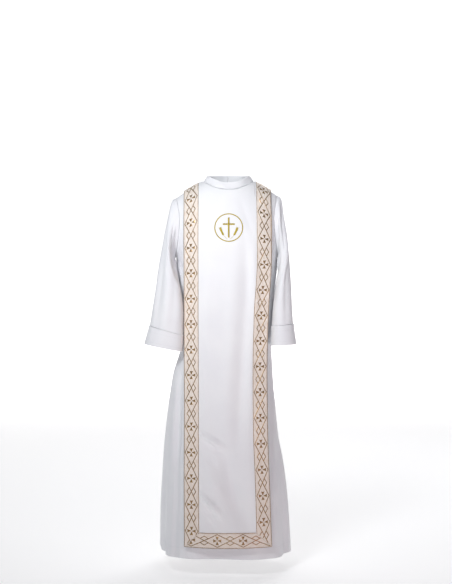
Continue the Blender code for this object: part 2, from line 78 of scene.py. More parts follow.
# Shoulders and neck
SHOULDER_HALF_LEFT = 0.156
SHOULDER_HALF_RIGHT = 0.146
CROWN_Z = 0.022
SHOULDER_FALL = 0.067
SHOULDER_POWER = 1.6
SHOULDER_REACH = 0.153
SHOULDER_SPREAD = 0.139
NECK_HALF = 0.0765
NECK_FRONT = 0.060
NECK_BACK = 0.050
ARMHOLE_SCOOP = 0.34
ARMHOLE_ROUND = 0.6
LINES_SPREAD = 0.56
LINES_POWER = 4
QUARTER_ARC = 0.78
SIDE_SEAM_POWER = 12

# Collar rim
RIM_HALF = 0.0625
RIM_FRONT = 0.051
RIM_BACK = 0.050
RIM_SIDE_Z = 0.0205
RIM_FRONT_DROP = 0.0245
RIM_BACK_RISE = 0.0040

SECTION_ROUND = 2.3
OVER_FRONT_ROUND = 2.1
OVER_BACK_ROUND = 2.6

# Level sections below the underarm:
# height, left half width, right half width, depth in front, depth behind
SECTIONS = np.array([
    [-1.098, 0.201, 0.187, 0.166, 0.186],
    [-0.980, 0.200, 0.180, 0.154, 0.168],
    [-0.870, 0.196, 0.169, 0.142, 0.150],
    [-0.760, 0.189, 0.150, 0.132, 0.134],
    [-0.580, 0.167, 0.131, 0.116, 0.110],
    [-0.480, 0.142, 0.128, 0.107, 0.095],
    [-0.400, 0.143, 0.139, 0.103, 0.088],
    [-0.300, 0.149, 0.142, 0.101, 0.086],
    [-0.262, 0.154, 0.1455, 0.0995, 0.088],
    [-0.225, 0.156, 0.146, 0.098, 0.090],
])

# Long folds: place at the top and at the hem (-1 to 1), half width, height at the hem,
# height where the fold starts
FRONT_FOLDS = [
    (-0.02, -0.08, 0.055, -0.018, -0.66),
    (-0.84, -0.86, 0.026, -0.009, -0.52),
    (-0.60, -0.62, 0.034, 0.007, -0.60),
    (0.78, 0.74, 0.028, -0.010, -0.56),
    (0.60, 0.52, 0.034, 0.006, -0.70),
]
BACK_FOLDS = [
    (-0.80, -0.76, 0.042, 0.019, -0.50),
    (-0.48, -0.46, 0.042, -0.014, -0.60),
    (0.02, 0.00, 0.040, -0.006, -0.60),
    (0.44, 0.42, 0.040, -0.014, -0.60),
    (0.74, 0.70, 0.040, 0.014, -0.55),
]

# Hanging panel: height, left edge, right edge, clearance before the robe, edge set back
PANEL_TABLE = np.array([
    [-1.061, -0.1255, 0.1235, 0.014, 0.028],
    [-0.890, -0.1265, 0.1180, 0.010, 0.030],
    [-0.740, -0.1270, 0.1130, 0.007, 0.030],
    [-0.600, -0.1275, 0.1115, 0.005, 0.032],
    [-0.390, -0.1285, 0.1155, 0.004, 0.032],
    [-0.225, -0.1290, 0.1245, 0.004, 0.034],
    [0.000, -0.1300, 0.1240, 0.004, 0.034],
])
PANEL_OVER_ROBE = 0.0030
PANEL_EDGE_POWER = 2.2
PANEL_HALF = 0.127
PANEL_SETTLE = 0.6
PANEL_TOP_LEFT = -0.130
PANEL_TOP_WIDTH = 0.254
PANEL_NECK_CLEAR = 0.0015
GALLOON_WIDTH = 0.043

# Troughs of the front panel: x, height of the middle, half width, half length, depth
PANEL_TROUGHS = [
    (0.050, -0.310, 0.020, 0.110, 0.0040),
    (0.038, -0.600, 0.022, 0.150, 0.0040),
    (0.015, -0.930, 0.045, 0.090, 0.0060),
]

# Sleeves: place along, outer x, outer z, inner x, inner z, middle y, half depth,
# how far the inner edge hangs forward
LEFT_SLEEVE = np.array([
    [0.00, 0.1560, -0.0470, 0.1560, -0.2250, 0.0000, 0.054, 0.000],
    [0.05, 0.1680, -0.0560, 0.1635, -0.2300, -0.0030, 0.060, 0.000],
    [0.11, 0.1780, -0.0950, 0.1630, -0.2400, -0.0080, 0.061, 0.000],
    [0.18, 0.1860, -0.1400, 0.1580, -0.2540, -0.0190, 0.061, 0.000],
    [0.30, 0.1940, -0.1950, 0.1500, -0.2830, -0.0330, 0.058, 0.010],
    [0.44, 0.2030, -0.2480, 0.1400, -0.3180, -0.0490, 0.053, 0.018],
    [0.58, 0.2110, -0.3000, 0.1345, -0.3530, -0.0600, 0.049, 0.014],
    [0.72, 0.2180, -0.3480, 0.1320, -0.3890, -0.0660, 0.046, 0.010],
    [0.86, 0.2240, -0.3880, 0.1320, -0.4230, -0.0680, 0.044, 0.006],
    [1.00, 0.2300, -0.4270, 0.1320, -0.4550, -0.0680, 0.042, 0.004],
])
RIGHT_SLEEVE = np.array([
    [0.00, 0.1460, -0.0400, 0.1460, -0.2250, 0.0000, 0.054, 0.000],
    [0.05, 0.1570, -0.0490, 0.1525, -0.2300, -0.0030, 0.060, 0.000],
    [0.11, 0.1620, -0.0900, 0.1520, -0.2390, -0.0080, 0.062, 0.000],
    [0.18, 0.1690, -0.1340, 0.1500, -0.2490, -0.0170, 0.062, 0.000],
    [0.30, 0.1760, -0.1880, 0.1475, -0.2740, -0.0300, 0.060, 0.010],
    [0.44, 0.1800, -0.2440, 0.1390, -0.3080, -0.0450, 0.055, 0.016],
    [0.58, 0.1830, -0.3000, 0.1340, -0.3410, -0.0560, 0.052, 0.014],
    [0.72, 0.1850, -0.3480, 0.1300, -0.3730, -0.0630, 0.050, 0.010],
    [0.86, 0.1870, -0.3860, 0.1280, -0.4010, -0.0660, 0.049, 0.006],
    [1.00, 0.1890, -0.4220, 0.1265, -0.4275, -0.0670, 0.048, 0.004],
])
LEFT_CUFF_END = np.array([0.2460, -0.4810, 0.1345, -0.5030, -0.0700, 0.043, 0.004])
RIGHT_CUFF_END = np.array([0.1980, -0.4810, 0.1240, -0.4850, -0.0700, 0.049, 0.004])
ARMHOLE_GAP = 0.0006
SLEEVE_BLEND = 0.34
SLEEVE_ROUND = 2.2
CUFF_STANDS_OUT = 0.0014

# Creases. Each row: start, end, half width, height (minus is a trough), all in metres.
# On the robe and panels the places are x and z; on the sleeves they are the place round
# the sleeve (0 inner, 0.25 front, 0.5 outer) and along it, times the size it has there.
ROBE_FRONT_CREASES = [
    ((-0.150, -0.235), (-0.128, -0.290), 0.009, -0.0040),
    ((-0.146, -0.262), (-0.130, -0.330), 0.007, 0.0030),
    ((-0.141, -0.590), (-0.150, -0.780), 0.008, -0.0078),
    ((-0.150, -0.780), (-0.156, -1.070), 0.010, -0.0080),
    ((-0.152, -0.600), (-0.168, -0.820), 0.008, 0.0040),
    ((-0.168, -0.820), (-0.182, -1.060), 0.011, -0.0062),
    ((0.120, -0.620), (0.130, -0.860), 0.010, -0.0060),
    ((0.140, -0.860), (0.156, -1.070), 0.011, -0.0056),
    ((0.130, -0.560), (0.139, -0.760), 0.008, 0.0034),
    ((0.156, -0.820), (0.172, -1.050), 0.010, 0.0034),
]
ROBE_BACK_CREASES = [
    ((-0.150, -0.240), (-0.095, -0.330), 0.011, -0.0035),
    ((0.140, -0.240), (0.092, -0.320), 0.011, -0.0035),
    ((-0.150, -0.560), (-0.172, -0.860), 0.011, -0.0040),
    ((0.135, -0.580), (0.155, -0.900), 0.011, -0.0040),
    ((-0.060, -0.480), (-0.080, -0.760), 0.014, -0.0035),
    ((0.060, -0.520), (0.076, -0.820), 0.014, -0.0035),
]
PANEL_FRONT_CREASES = [
    ((0.046, -0.170), (0.054, -0.300), 0.011, -0.0013),
    ((0.054, -0.300), (0.044, -0.440), 0.013, -0.0017),
    ((0.044, -0.450), (0.032, -0.620), 0.013, -0.0024),
    ((0.032, -0.640), (0.024, -0.760), 0.014, -0.0034),
    ((0.074, -0.230), (0.076, -0.430), 0.011, 0.0046),
    ((0.066, -0.460), (0.058, -0.700), 0.012, 0.0050),
    ((0.014, -0.300), (0.008, -0.520), 0.018, 0.0042),
    ((-0.002, -0.540), (-0.012, -0.740), 0.018, 0.0040),
    ((-0.060, -0.764), (-0.030, -0.786), 0.0075, -0.0046),
    ((-0.061, -0.748), (-0.028, -0.769), 0.0075, 0.0100),
    ((-0.054, -0.806), (-0.044, -0.822), 0.0100, -0.0030),
    ((-0.061, -0.947), (-0.040, -0.974), 0.0075, -0.0050),
    ((-0.061, -0.928), (-0.036, -0.955), 0.0075, 0.0105),
    ((-0.056, -0.984), (-0.044, -1.002), 0.0090, -0.0034),
    ((-0.010, -0.800), (0.014, -0.900), 0.024, -0.0085),
    ((0.014, -0.900), (0.048, -0.990), 0.024, -0.0080),
    ((-0.050, -0.860), (-0.030, -0.900), 0.020, 0.0050),
    ((0.056, -0.780), (0.070, -0.960), 0.016, 0.0036),
    ((-0.064, -0.300), (-0.058, -0.520), 0.016, 0.0026),
    ((-0.072, -0.560), (-0.066, -0.700), 0.014, 0.0022),
    ((-0.030, -0.080), (-0.060, -0.150), 0.010, -0.0016),
    ((0.040, -0.075), (0.066, -0.150), 0.010, -0.0018),
]
PANEL_BACK_CREASES = [
    ((-0.040, -0.200), (-0.052, -0.460), 0.012, -0.0024),
    ((0.036, -0.240), (0.044, -0.520), 0.013, -0.0022),
    ((-0.020, -0.560), (-0.034, -0.820), 0.014, -0.0026),
    ((0.050, -0.640), (0.058, -0.900), 0.015, -0.0024),
    ((0.080, -0.820), (0.044, -0.850), 0.007, -0.0022),
]
LEFT_SLEEVE_CREASES = [
    ((0.014, 0.034), (0.014, 0.074), 0.011, 0.0042),
    ((0.018, 0.052), (0.014, 0.150), 0.014, 0.0055),
    ((0.068, 0.030), (0.016, 0.150), 0.008, -0.0030),
    ((0.096, 0.040), (0.034, 0.170), 0.009, 0.0030),
    ((0.046, 0.020), (0.008, 0.100), 0.006, -0.0036),
    ((0.084, 0.150), (0.082, 0.390), 0.010, -0.0042),
    ((0.060, 0.190), (0.058, 0.400), 0.010, 0.0030),
    ((0.036, 0.170), (0.044, 0.360), 0.009, -0.0032),
    ((0.112, 0.110), (0.106, 0.330), 0.012, 0.0022),
    ((0.134, 0.180), (0.120, 0.360), 0.010, -0.0022),
    ((0.230, 0.040), (0.280, 0.160), 0.009, -0.0036),
    ((0.206, 0.060), (0.262, 0.190), 0.010, 0.0028),
    ((0.214, 0.180), (0.222, 0.380), 0.011, -0.0036),
    ((0.246, 0.200), (0.250, 0.400), 0.010, 0.0026),
]
RIGHT_SLEEVE_CREASES = [
    ((0.014, 0.034), (0.014, 0.074), 0.011, 0.0042),
    ((0.018, 0.056), (0.014, 0.140), 0.014, 0.0056),
    ((0.082, 0.020), (0.028, 0.150), 0.007, 0.0042),
    ((0.096, 0.036), (0.046, 0.160), 0.007, -0.0036),
    ((0.112, 0.040), (0.066, 0.190), 0.008, 0.0036),
    ((0.058, 0.016), (0.016, 0.110), 0.007, -0.0040),
    ((0.070, 0.200), (0.068, 0.390), 0.010, -0.0036),
    ((0.098, 0.180), (0.092, 0.380), 0.011, 0.0024),
    ((0.128, 0.160), (0.120, 0.350), 0.011, -0.0024),
    ((0.222, 0.040), (0.276, 0.160), 0.009, -0.0036),
    ((0.246, 0.050), (0.290, 0.150), 0.008, 0.0030),
    ((0.212, 0.180), (0.220, 0.380), 0.011, -0.0034),
    ((0.250, 0.190), (0.252, 0.390), 0.010, 0.0024),
]
SLEEVE_GIRTH = 0.300
SLEEVE_LENGTH = 0.420

# Where creases and ripples fade out: toward the side seams (0 is the middle, 1 the seam),
# toward the shoulder seams (0 is the underarm, 1 the seam) and toward the armhole
SIDE_FADE = (0.86, 1.0)
SHOULDER_FADE = (0.80, 0.98)
ARMHOLE_FADE = (0.0, 0.08)

# Soft unevenness of hanging cloth: wave number along x, along z, phase, height
RIPPLES = [
    (38.0, 3.1, 0.4, 0.00050),
    (23.0, -5.2, 1.9, 0.00060),
    (61.0, 7.4, 3.1, 0.00025),
    (14.0, 17.0, 5.0, 0.00040),
    (-31.0, 26.0, 2.2, 0.00022),
]

# Weave of the suiting: pitch of a thread, turns of the two twill lines, depths of the bumps
THREAD_PITCH = 0.0011
TWILL_TURNS = ((0.0, 0.62, 0.0), (0.0, -0.95, 0.0))
WEAVE_DEPTH = 0.00012
SLUB_DEPTH = 0.00010
SLUB_SCALE = (260.0, 260.0, 36.0)
TONE_SCALE = 9.0

# Ribs and gold flecks of the trim, by its own flat places
RIB_SCALE = 300.0
RIB_DEPTH = 0.0002
FLECK_SCALE = (900.0, 60.0, 1.0)
GLINT_SCALE = 900.0

# How finely the pieces are cut up
NECK_COLUMNS = 18
SIDE_COLUMNS = 34
SKIRT_ROWS = 112
YOKE_ROWS = 42
SLEEVE_COLUMNS = 88
SLEEVE_ROWS = 92
CUFF_ROWS = 10
COLLAR_COLUMNS = 121
COLLAR_ROWS = 7
PANEL_NECK_COLUMNS = 44
TRIM_COLUMNS = 10
PANEL_ROWS = 150
HEM_COLUMNS = 64

HANGING_TOP = -0.004
YOKE_SPREAD = 0.9

COLLAR_OPEN = 0.0006
COLLAR_TALL = 0.022
COLLAR_WAVE = 0.0013
MITRE_GAP = 0.00015

# Dents and rolls: depth or height, where its middle is, half width
COLLAR_STITCH_DENT = (0.0006, 0.82, 0.0016)
CUFF_ROLL = (0.0023, 0.0036, 0.0040)
CUFF_DIP = (0.0009, 0.0095, 0.0030)
BACK_SEAM_DENT = 0.0016
BACK_SEAM_HALF = 0.010
BACK_SEAM_REACH = 0.2

# Galloon repeat: two crossing zigzags, chevrons round each crossing, a flared cross between
PITCH = 0.0745
HEM_PITCH = 0.0755
FIRST_PLACES = {"left": 0.0465, "right": 0.0720, "hem": -0.0315}
ZIGZAG_HALF = 0.0176
CHEVRON_TIP = 0.0125
CHEVRON_END = 0.0058
CHEVRON_HALF = 0.0115
PETAL_FROM = 0.0020
PETAL_TO = 0.0126
PETAL_HALF = 0.0052
PETAL_ROOT = 0.0009
PETAL_FLARE = 1.35
PETAL_HOLLOW = 0.0012
PETAL_CROWN = 1.3
LINE_WIDTH = 0.0021
LINE_TALL = 0.00035
EDGE_LINE = 0.0208
EDGE_WIDTH = 0.0010

# Chest emblem: ring, cross and two ears of wheat
EMBLEM_X = 0.001
EMBLEM_Z = -0.141
EMBLEM_RADIUS = 0.0415
EMBLEM_LINE = 0.0030
CROSS_LINE = 0.0050
CROSS_TOP = 0.029
CROSS_FOOT = 0.029
CROSS_ARM = 0.017
CROSS_ARM_Z = 0.010
RING_PLACES = 160
RING_STITCHES = 430
RING_SLANT = 0.22
CROSS_SLANT = 0.10
CROSS_PLACES = 9
SATIN_STEP = 0.00058
PADDING_INSET = 0.0004
PADDING_LIFT = 0.0001
PADDING_TALL = 0.0005

# Size of an embroidered stitch or grain: along, across, high
RING_STITCH = (EMBLEM_LINE + 0.0003, 0.00062, 0.0008)
CROSS_STITCH = (CROSS_LINE, 0.00066, 0.0010)
STALK_STITCH = (0.0023, 0.0009, 0.0008)
GRAIN_SIZE = (0.0056, 0.0023, 0.0012)
TIP_SIZE = (0.0060, 0.0023, 0.0012)
AWN_SIZE = (0.0048, 0.00045, 0.00045)

# Ears of wheat: curve of the stalk from the emblem's middle, then spacings along it
WHEAT_KNOTS = np.array([(0.0035, -0.0335), (0.0150, -0.0270), (0.0235, -0.0040)])
STALK_FIRST = 0.0006
STALK_END = 0.001
STALK_STEP = 0.0017
WHEAT_GRAINS = 7
AWN_GRAINS = 4
GRAIN_FIRST = 0.0008
GRAIN_STEP = 0.0033
GRAIN_LEAN = 0.52
GRAIN_OUT = 0.0026
TIP_OUT = 0.0030
AWN_OUT = 0.0072

# Topstitching: step, size of a stitch, and how far in from an edge it runs; the last three
# are counted in columns of the trim and in rows of the cuff and the collar
STITCH_STEP = 0.0040
STITCH_SIZE = (0.0026, 0.0006, 0.0005)
HEM_STITCH_UP = 0.030
TRIM_STITCH_IN = 0.35
CUFF_STITCH_ROWS = (5.3, CUFF_ROWS + 0.4)
COLLAR_STITCH_ROW = COLLAR_ROWS + 0.2


def rows_at(table, key):
    """Rows of a table at each key, with soft cubic joins between the given rows."""
    keys, values = table[:, 0], table[:, 1:]
    key = np.clip(np.asarray(key, dtype=float), keys[0], keys[-1])
    i = np.clip(np.searchsorted(keys, key, side="right") - 1, 0, len(keys) - 2)
    slopes = np.diff(values, axis=0) / np.diff(keys)[:, None]
    middle = (slopes[:-1] + slopes[1:]) / 2
    middle[slopes[:-1] * slopes[1:] <= 0] = 0.0
    tangents = np.vstack([slopes[:1], middle, slopes[-1:]])
    span = (keys[i + 1] - keys[i])[..., None]
    f = (key - keys[i])[..., None] / span
    near, leaving = 2 * f ** 3 - 3 * f ** 2 + 1, f ** 3 - 2 * f ** 2 + f
    far, arriving = 3 * f ** 2 - 2 * f ** 3, f ** 3 - f ** 2
    return (near * values[i] + leaving * span * tangents[i]
            + far * values[i + 1] + arriving * span * tangents[i + 1])


def ease(value, low, high):
    f = np.clip((value - low) / (high - low), 0.0, 1.0)
    return f * f * (3 - 2 * f)


def bell(value, half_width):
    return np.exp(-(value / half_width) ** 2)


def across(s):
    return np.sign(s) * np.abs(np.sin(math.pi / 2 * s)) ** (2 / SECTION_ROUND)


def across_place(share):
    share = np.clip(share, -1.0, 1.0)
    return np.sign(share) * np.arcsin(np.abs(share) ** (SECTION_ROUND / 2)) / (math.pi / 2)


def depth_share(s):
    return np.clip(np.cos(math.pi / 2 * s), 0.0, 1.0) ** (2 / SECTION_ROUND)


def yoke_half(s, t):
    half = np.where(s < 0, SHOULDER_HALF_LEFT, SHOULDER_HALF_RIGHT)
    return half * (1 + SHOULDER_SPREAD * ease(t, 0.0, 1.0))


def shoulder_line(x):
    return CROWN_Z - SHOULDER_FALL * (np.abs(x) / SHOULDER_REACH) ** SHOULDER_POWER


def chest_depth(facing):
    return rows_at(SECTIONS, UNDERARM_Z)[2 if facing < 0 else 3]


def skirt_point(facing, folds, s, z):
    left, right, front, back = np.moveaxis(rows_at(SECTIONS, z), -1, 0)
    half = np.where(s < 0, left, right)
    depth = front if facing < 0 else back
    x = half * across(s)
    y = facing * depth * depth_share(s)
    out = np.stack([x / half ** 2, y / depth ** 2], axis=-1)
    out /= np.linalg.norm(out, axis=-1, keepdims=True)
    arc = QUARTER_ARC * (half + depth)
    height = np.zeros_like(x)
    for top_place, hem_place, half_width, tall, start in folds:
        grown = ease(-z, -start, -HEM_Z)
        place = top_place + (hem_place - top_place) * grown
        height += tall * grown * bell((s - place) * arc, half_width)
    height *= 1 - np.abs(s) ** SIDE_SEAM_POWER
    return np.stack([x + out[..., 0] * height, y + out[..., 1] * height, z], axis=-1)


def yoke_point(facing, s, t):
    power = 2 / (OVER_FRONT_ROUND if facing < 0 else OVER_BACK_ROUND)
    x = yoke_half(s, t) * across(s)
    turn = math.pi / 2 * t
    y = facing * chest_depth(facing) * depth_share(s) * np.clip(np.cos(turn), 0.0, 1.0) ** power
    z = UNDERARM_Z + (shoulder_line(x) - UNDERARM_Z) * np.clip(np.sin(turn), 0.0, 1.0) ** power
    return np.stack([x, y, z], axis=-1)


def neck_end(facing, x, clear=0.0):
    inside = np.clip(1 - (x / (NECK_HALF + clear)) ** 2, 0.0, 1.0)
    neck = ((NECK_FRONT if facing < 0 else NECK_BACK) + clear) * np.sqrt(inside)
    depth = chest_depth(facing) * depth_share(across_place(x / yoke_half(x, 1.0)))
    power = 2 / (OVER_FRONT_ROUND if facing < 0 else OVER_BACK_ROUND)
    return np.arccos(np.clip(neck / depth, 0.0, 1.0) ** (1 / power)) / (math.pi / 2)


def armhole_edge(level):
    return 1 - ARMHOLE_SCOOP * np.sin(math.pi * np.minimum(level, 0.5)) ** ARMHOLE_ROUND


def robe_points(facing, folds, c, level):
    spread = LINES_SPREAD * (1 - np.clip(level, 0.0, 1.0) ** LINES_POWER)
    s = c + spread * c * (1 - np.abs(c))
    skirt = skirt_point(facing, folds, s, UNDERARM_Z + np.minimum(level, 0.0))
    up = np.clip(level, 0.0, 1.0)
    x = yoke_half(c, 1.0) * across(c * armhole_edge(1.0))
    yoke = yoke_point(facing, s * armhole_edge(up), up * neck_end(facing, x))
    return np.where((level < 0)[..., None], skirt, yoke)


def panel_flat(facing, x, z):
    depth = rows_at(SECTIONS, z)[..., 2 if facing < 0 else 3]
    table = rows_at(PANEL_TABLE, z)
    return depth + table[..., 2] - table[..., 3] * (np.abs(x) / PANEL_HALF) ** PANEL_EDGE_POWER


def panel_over(facing, x, t):
    """Panel over the chest or the back of the shoulders; t is the place up the yoke."""
    s = across_place(x / yoke_half(x, t))
    points = yoke_point(facing, s, t)
    under = np.abs(yoke_point(facing, s, 0 * t)[..., 1])
    extra = panel_flat(facing, x, np.full_like(x, UNDERARM_Z)) - under
    points[..., 1] += facing * extra * (1 - ease(t, 0.0, PANEL_SETTLE))
    return points


def settled(facing, points):
    if facing < 0:
        for middle_x, middle_z, half_width, half_length, depth in PANEL_TROUGHS:
            points[..., 1] += (depth * bell(points[..., 0] - middle_x, half_width)
                               * bell(points[..., 2] - middle_z, half_length))
    return points


def panel_points(facing, a, level):
    """Panel surface; a is the distance from its left edge as it is cut at the shoulder."""
    up = np.clip(level, 0.0, 1.0)
    z = UNDERARM_Z + np.minimum(level, 0.0)
    edges = rows_at(PANEL_TABLE, np.where(level > 0, UNDERARM_Z * (1 - up), z))
    left, right = edges[..., 0], edges[..., 1]
    middle = (right - left - 2 * GALLOON_WIDTH) / (PANEL_TOP_WIDTH - 2 * GALLOON_WIDTH)
    x = np.where(a <= GALLOON_WIDTH, left + a, left + GALLOON_WIDTH + (a - GALLOON_WIDTH) * middle)
    x = np.where(a >= PANEL_TOP_WIDTH - GALLOON_WIDTH, right - (PANEL_TOP_WIDTH - a), x)
    low = np.stack([x, facing * panel_flat(facing, x, z), z], axis=-1)
    high = panel_over(facing, x, up * neck_end(facing, x, PANEL_NECK_CLEAR))
    return settled(facing, np.where((level < 0)[..., None], low, high))


def collar_points(u, v):
    turn = 2 * math.pi * u
    share, back = -np.sin(turn), np.cos(turn)
    x = NECK_HALF * share
    place = across_place(x / yoke_half(x, 1.0))
    base = np.where((back > 0)[..., None], yoke_point(1, place, neck_end(1, x)),
                    yoke_point(-1, place, neck_end(-1, x)))
    depth = np.where(back > 0, RIM_BACK, RIM_FRONT)
    z = (RIM_SIDE_Z - RIM_FRONT_DROP * np.clip(-back, 0, 1) ** 2
         + RIM_BACK_RISE * np.clip(back, 0, 1) ** 2)
    rim = np.stack([RIM_HALF * share, depth * back, z], axis=-1)
    v = v[..., None]
    return base * (1 - v) + rim * v


def sleeve_points(side, first_row, rows, u, blend):
    turn = 2 * math.pi * (u % 1.0)
    level = (1 - np.cos(turn)) / 2
    front = yoke_point(-1, side * armhole_edge(level), level)
    back = yoke_point(1, side * armhole_edge(level), level)
    seam = np.where((turn <= math.pi)[..., None], front, back)
    outer_z, inner_z = first_row[1], first_row[3]
    share = (seam[..., 2] - (outer_z + inner_z) / 2) / ((outer_z - inner_z) / 2)
    set_in = side * seam[..., 0] - first_row[0]
    ox, oz, ix, iz, y, depth, forward = np.moveaxis(rows, -1, 0)
    half_x, half_z = (ox - ix) / 2, (oz - iz) / 2
    size = np.hypot(half_x, half_z)
    round_y = depth * np.clip(1 - np.abs(share) ** SLEEVE_ROUND, 0.0, 1.0) ** (1 / SLEEVE_ROUND)
    round_y = np.where(turn <= math.pi, -round_y, round_y)
    round_y = round_y - forward * (1 - share) / 2
    aside = set_in * (1 - blend)
    return np.stack([
        side * ((ox + ix) / 2 + half_x * share + half_z / size * aside),
        y + seam[..., 1] * (1 - blend) + round_y * blend,
        (oz + iz) / 2 + half_z * share - half_x / size * aside,
    ], axis=-1)


def creased(u, v, creases):
    """Height of the listed creases at places u, v, in metres."""
    height = np.zeros_like(u)
    for (u0, v0), (u1, v1), half_width, tall in creases:
        du, dv = u1 - u0, v1 - v0
        long = math.hypot(du, dv)
        along = ((u - u0) * du + (v - v0) * dv) / long ** 2
        off = ((u - u0) * dv - (v - v0) * du) / long
        past = np.clip(np.abs(along - 0.5) - 0.5, 0.0, None) * long
        fading = bell(past, max(3 * half_width, 0.2 * long))
        taper = fading * (0.55 + 0.45 * bell(along - 0.5, 0.45))
        height += tall * taper * bell(off, half_width)
    return height


def rippled(u, v):
    height = np.zeros_like(u)
    for along_u, along_v, phase, tall in RIPPLES:
        height += tall * np.sin(along_u * u + along_v * v + phase + 0.8 * np.sin(9 * v + phase))
    return height


def grid_normals(points, closed=False):
    if closed:
        along_u = np.roll(points, -1, axis=1) - np.roll(points, 1, axis=1)
    else:
        along_u = np.gradient(points, axis=1)
    along_v = np.gradient(points, axis=0)
    normal = np.cross(along_u, along_v)
    return normal / np.maximum(np.linalg.norm(normal, axis=-1, keepdims=True), 1e-12)


def moved_out(points, height, closed=False, sign=1):
    return points + sign * grid_normals(points, closed) * height[..., None]


def add_piece(name, points, faces, look, uv=None):
    mesh = bpy.data.meshes.new(name)
    mesh.from_pydata([tuple(p) for p in points], [], faces)
    mesh.update()
    mesh.materials.append(look)
    for polygon in mesh.polygons:
        polygon.use_smooth = True
    if uv is not None:
        layer = mesh.uv_layers.new(name="cloth")
        vertex = np.empty(len(mesh.loops), dtype=np.int32)
        mesh.loops.foreach_get("vertex_index", vertex)
        layer.data.foreach_set("uv", uv[vertex].astype(np.float32).ravel())
    piece = bpy.data.objects.new(name, mesh)
    bpy.context.scene.collection.objects.link(piece)
    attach(piece, "root")
    return piece


def grid_faces(rows, columns, closed=False):
    r, c = np.meshgrid(np.arange(rows - 1), np.arange(columns if closed else columns - 1),
                       indexing="ij")
    a, b = r * columns + c, r * columns + (c + 1) % columns
    return np.stack([a, b, b + columns, a + columns], axis=-1).reshape(-1, 4)


def shell(name, points, thickness, look, closed=False, flip=False, uv=None,
          lift=0.0, soft_ends=0, faces=None):
    """Thin closed wall: the points are its outer face, unless lifted; soft ends are round."""
    rows, columns = points.shape[:2]
    sign = -1 if flip else 1
    normal = sign * grid_normals(points, closed)
    full = np.ones((rows, columns, 1))
    for k in range(soft_ends):
        share = math.sqrt(1 - (1 - (k + 0.25) / soft_ends) ** 2)
        full[k] *= share
        full[rows - 1 - k] *= share
    centre = points + normal * (lift - thickness / 2)
    outer = (centre + normal * full * thickness / 2).reshape(-1, 3)
    inner = (centre - normal * full * thickness / 2).reshape(-1, 3)
    if faces is None:
        faces = grid_faces(rows, columns, closed)
    if flip:
        faces = faces[:, ::-1]
    count = len(outer)
    edges = np.stack([faces, np.roll(faces, -1, axis=1)], axis=-1).reshape(-1, 2)
    present = {tuple(e) for e in edges.tolist()}
    rim = [(b, a, a + count, b + count) for a, b in present if (b, a) not in present]
    solid = faces.tolist() + (faces[:, ::-1] + count).tolist() + sorted(rim)
    both = None if uv is None else np.vstack([uv.reshape(-1, 2)] * 2)
    return add_piece(name, np.vstack([outer, inner]), solid, look, both)


def place_grid(us, vs):
    return np.meshgrid(np.asarray(us, dtype=float), np.asarray(vs, dtype=float))


def node_tree(name, colour, roughness, sheen, sheen_tint=(1.0, 1.0, 1.0, 1.0)):
    look = bpy.data.materials.new(name)
    look.use_nodes = True
    shader = look.node_tree.nodes["Principled BSDF"]
    shader.inputs["Base Color"].default_value = (*colour, 1.0)
    shader.inputs["Roughness"].default_value = roughness
    shader.inputs["Specular IOR Level"].default_value = 0.25
    shader.inputs["Sheen Weight"].default_value = sheen
    shader.inputs["Sheen Roughness"].default_value = 0.45
    shader.inputs["Sheen Tint"].default_value = sheen_tint
    return look, look.node_tree, shader


def add_node(tree, kind, **values):
    node = tree.nodes.new(kind)
    for key, value in values.items():
        setattr(node, key, value)
    return node


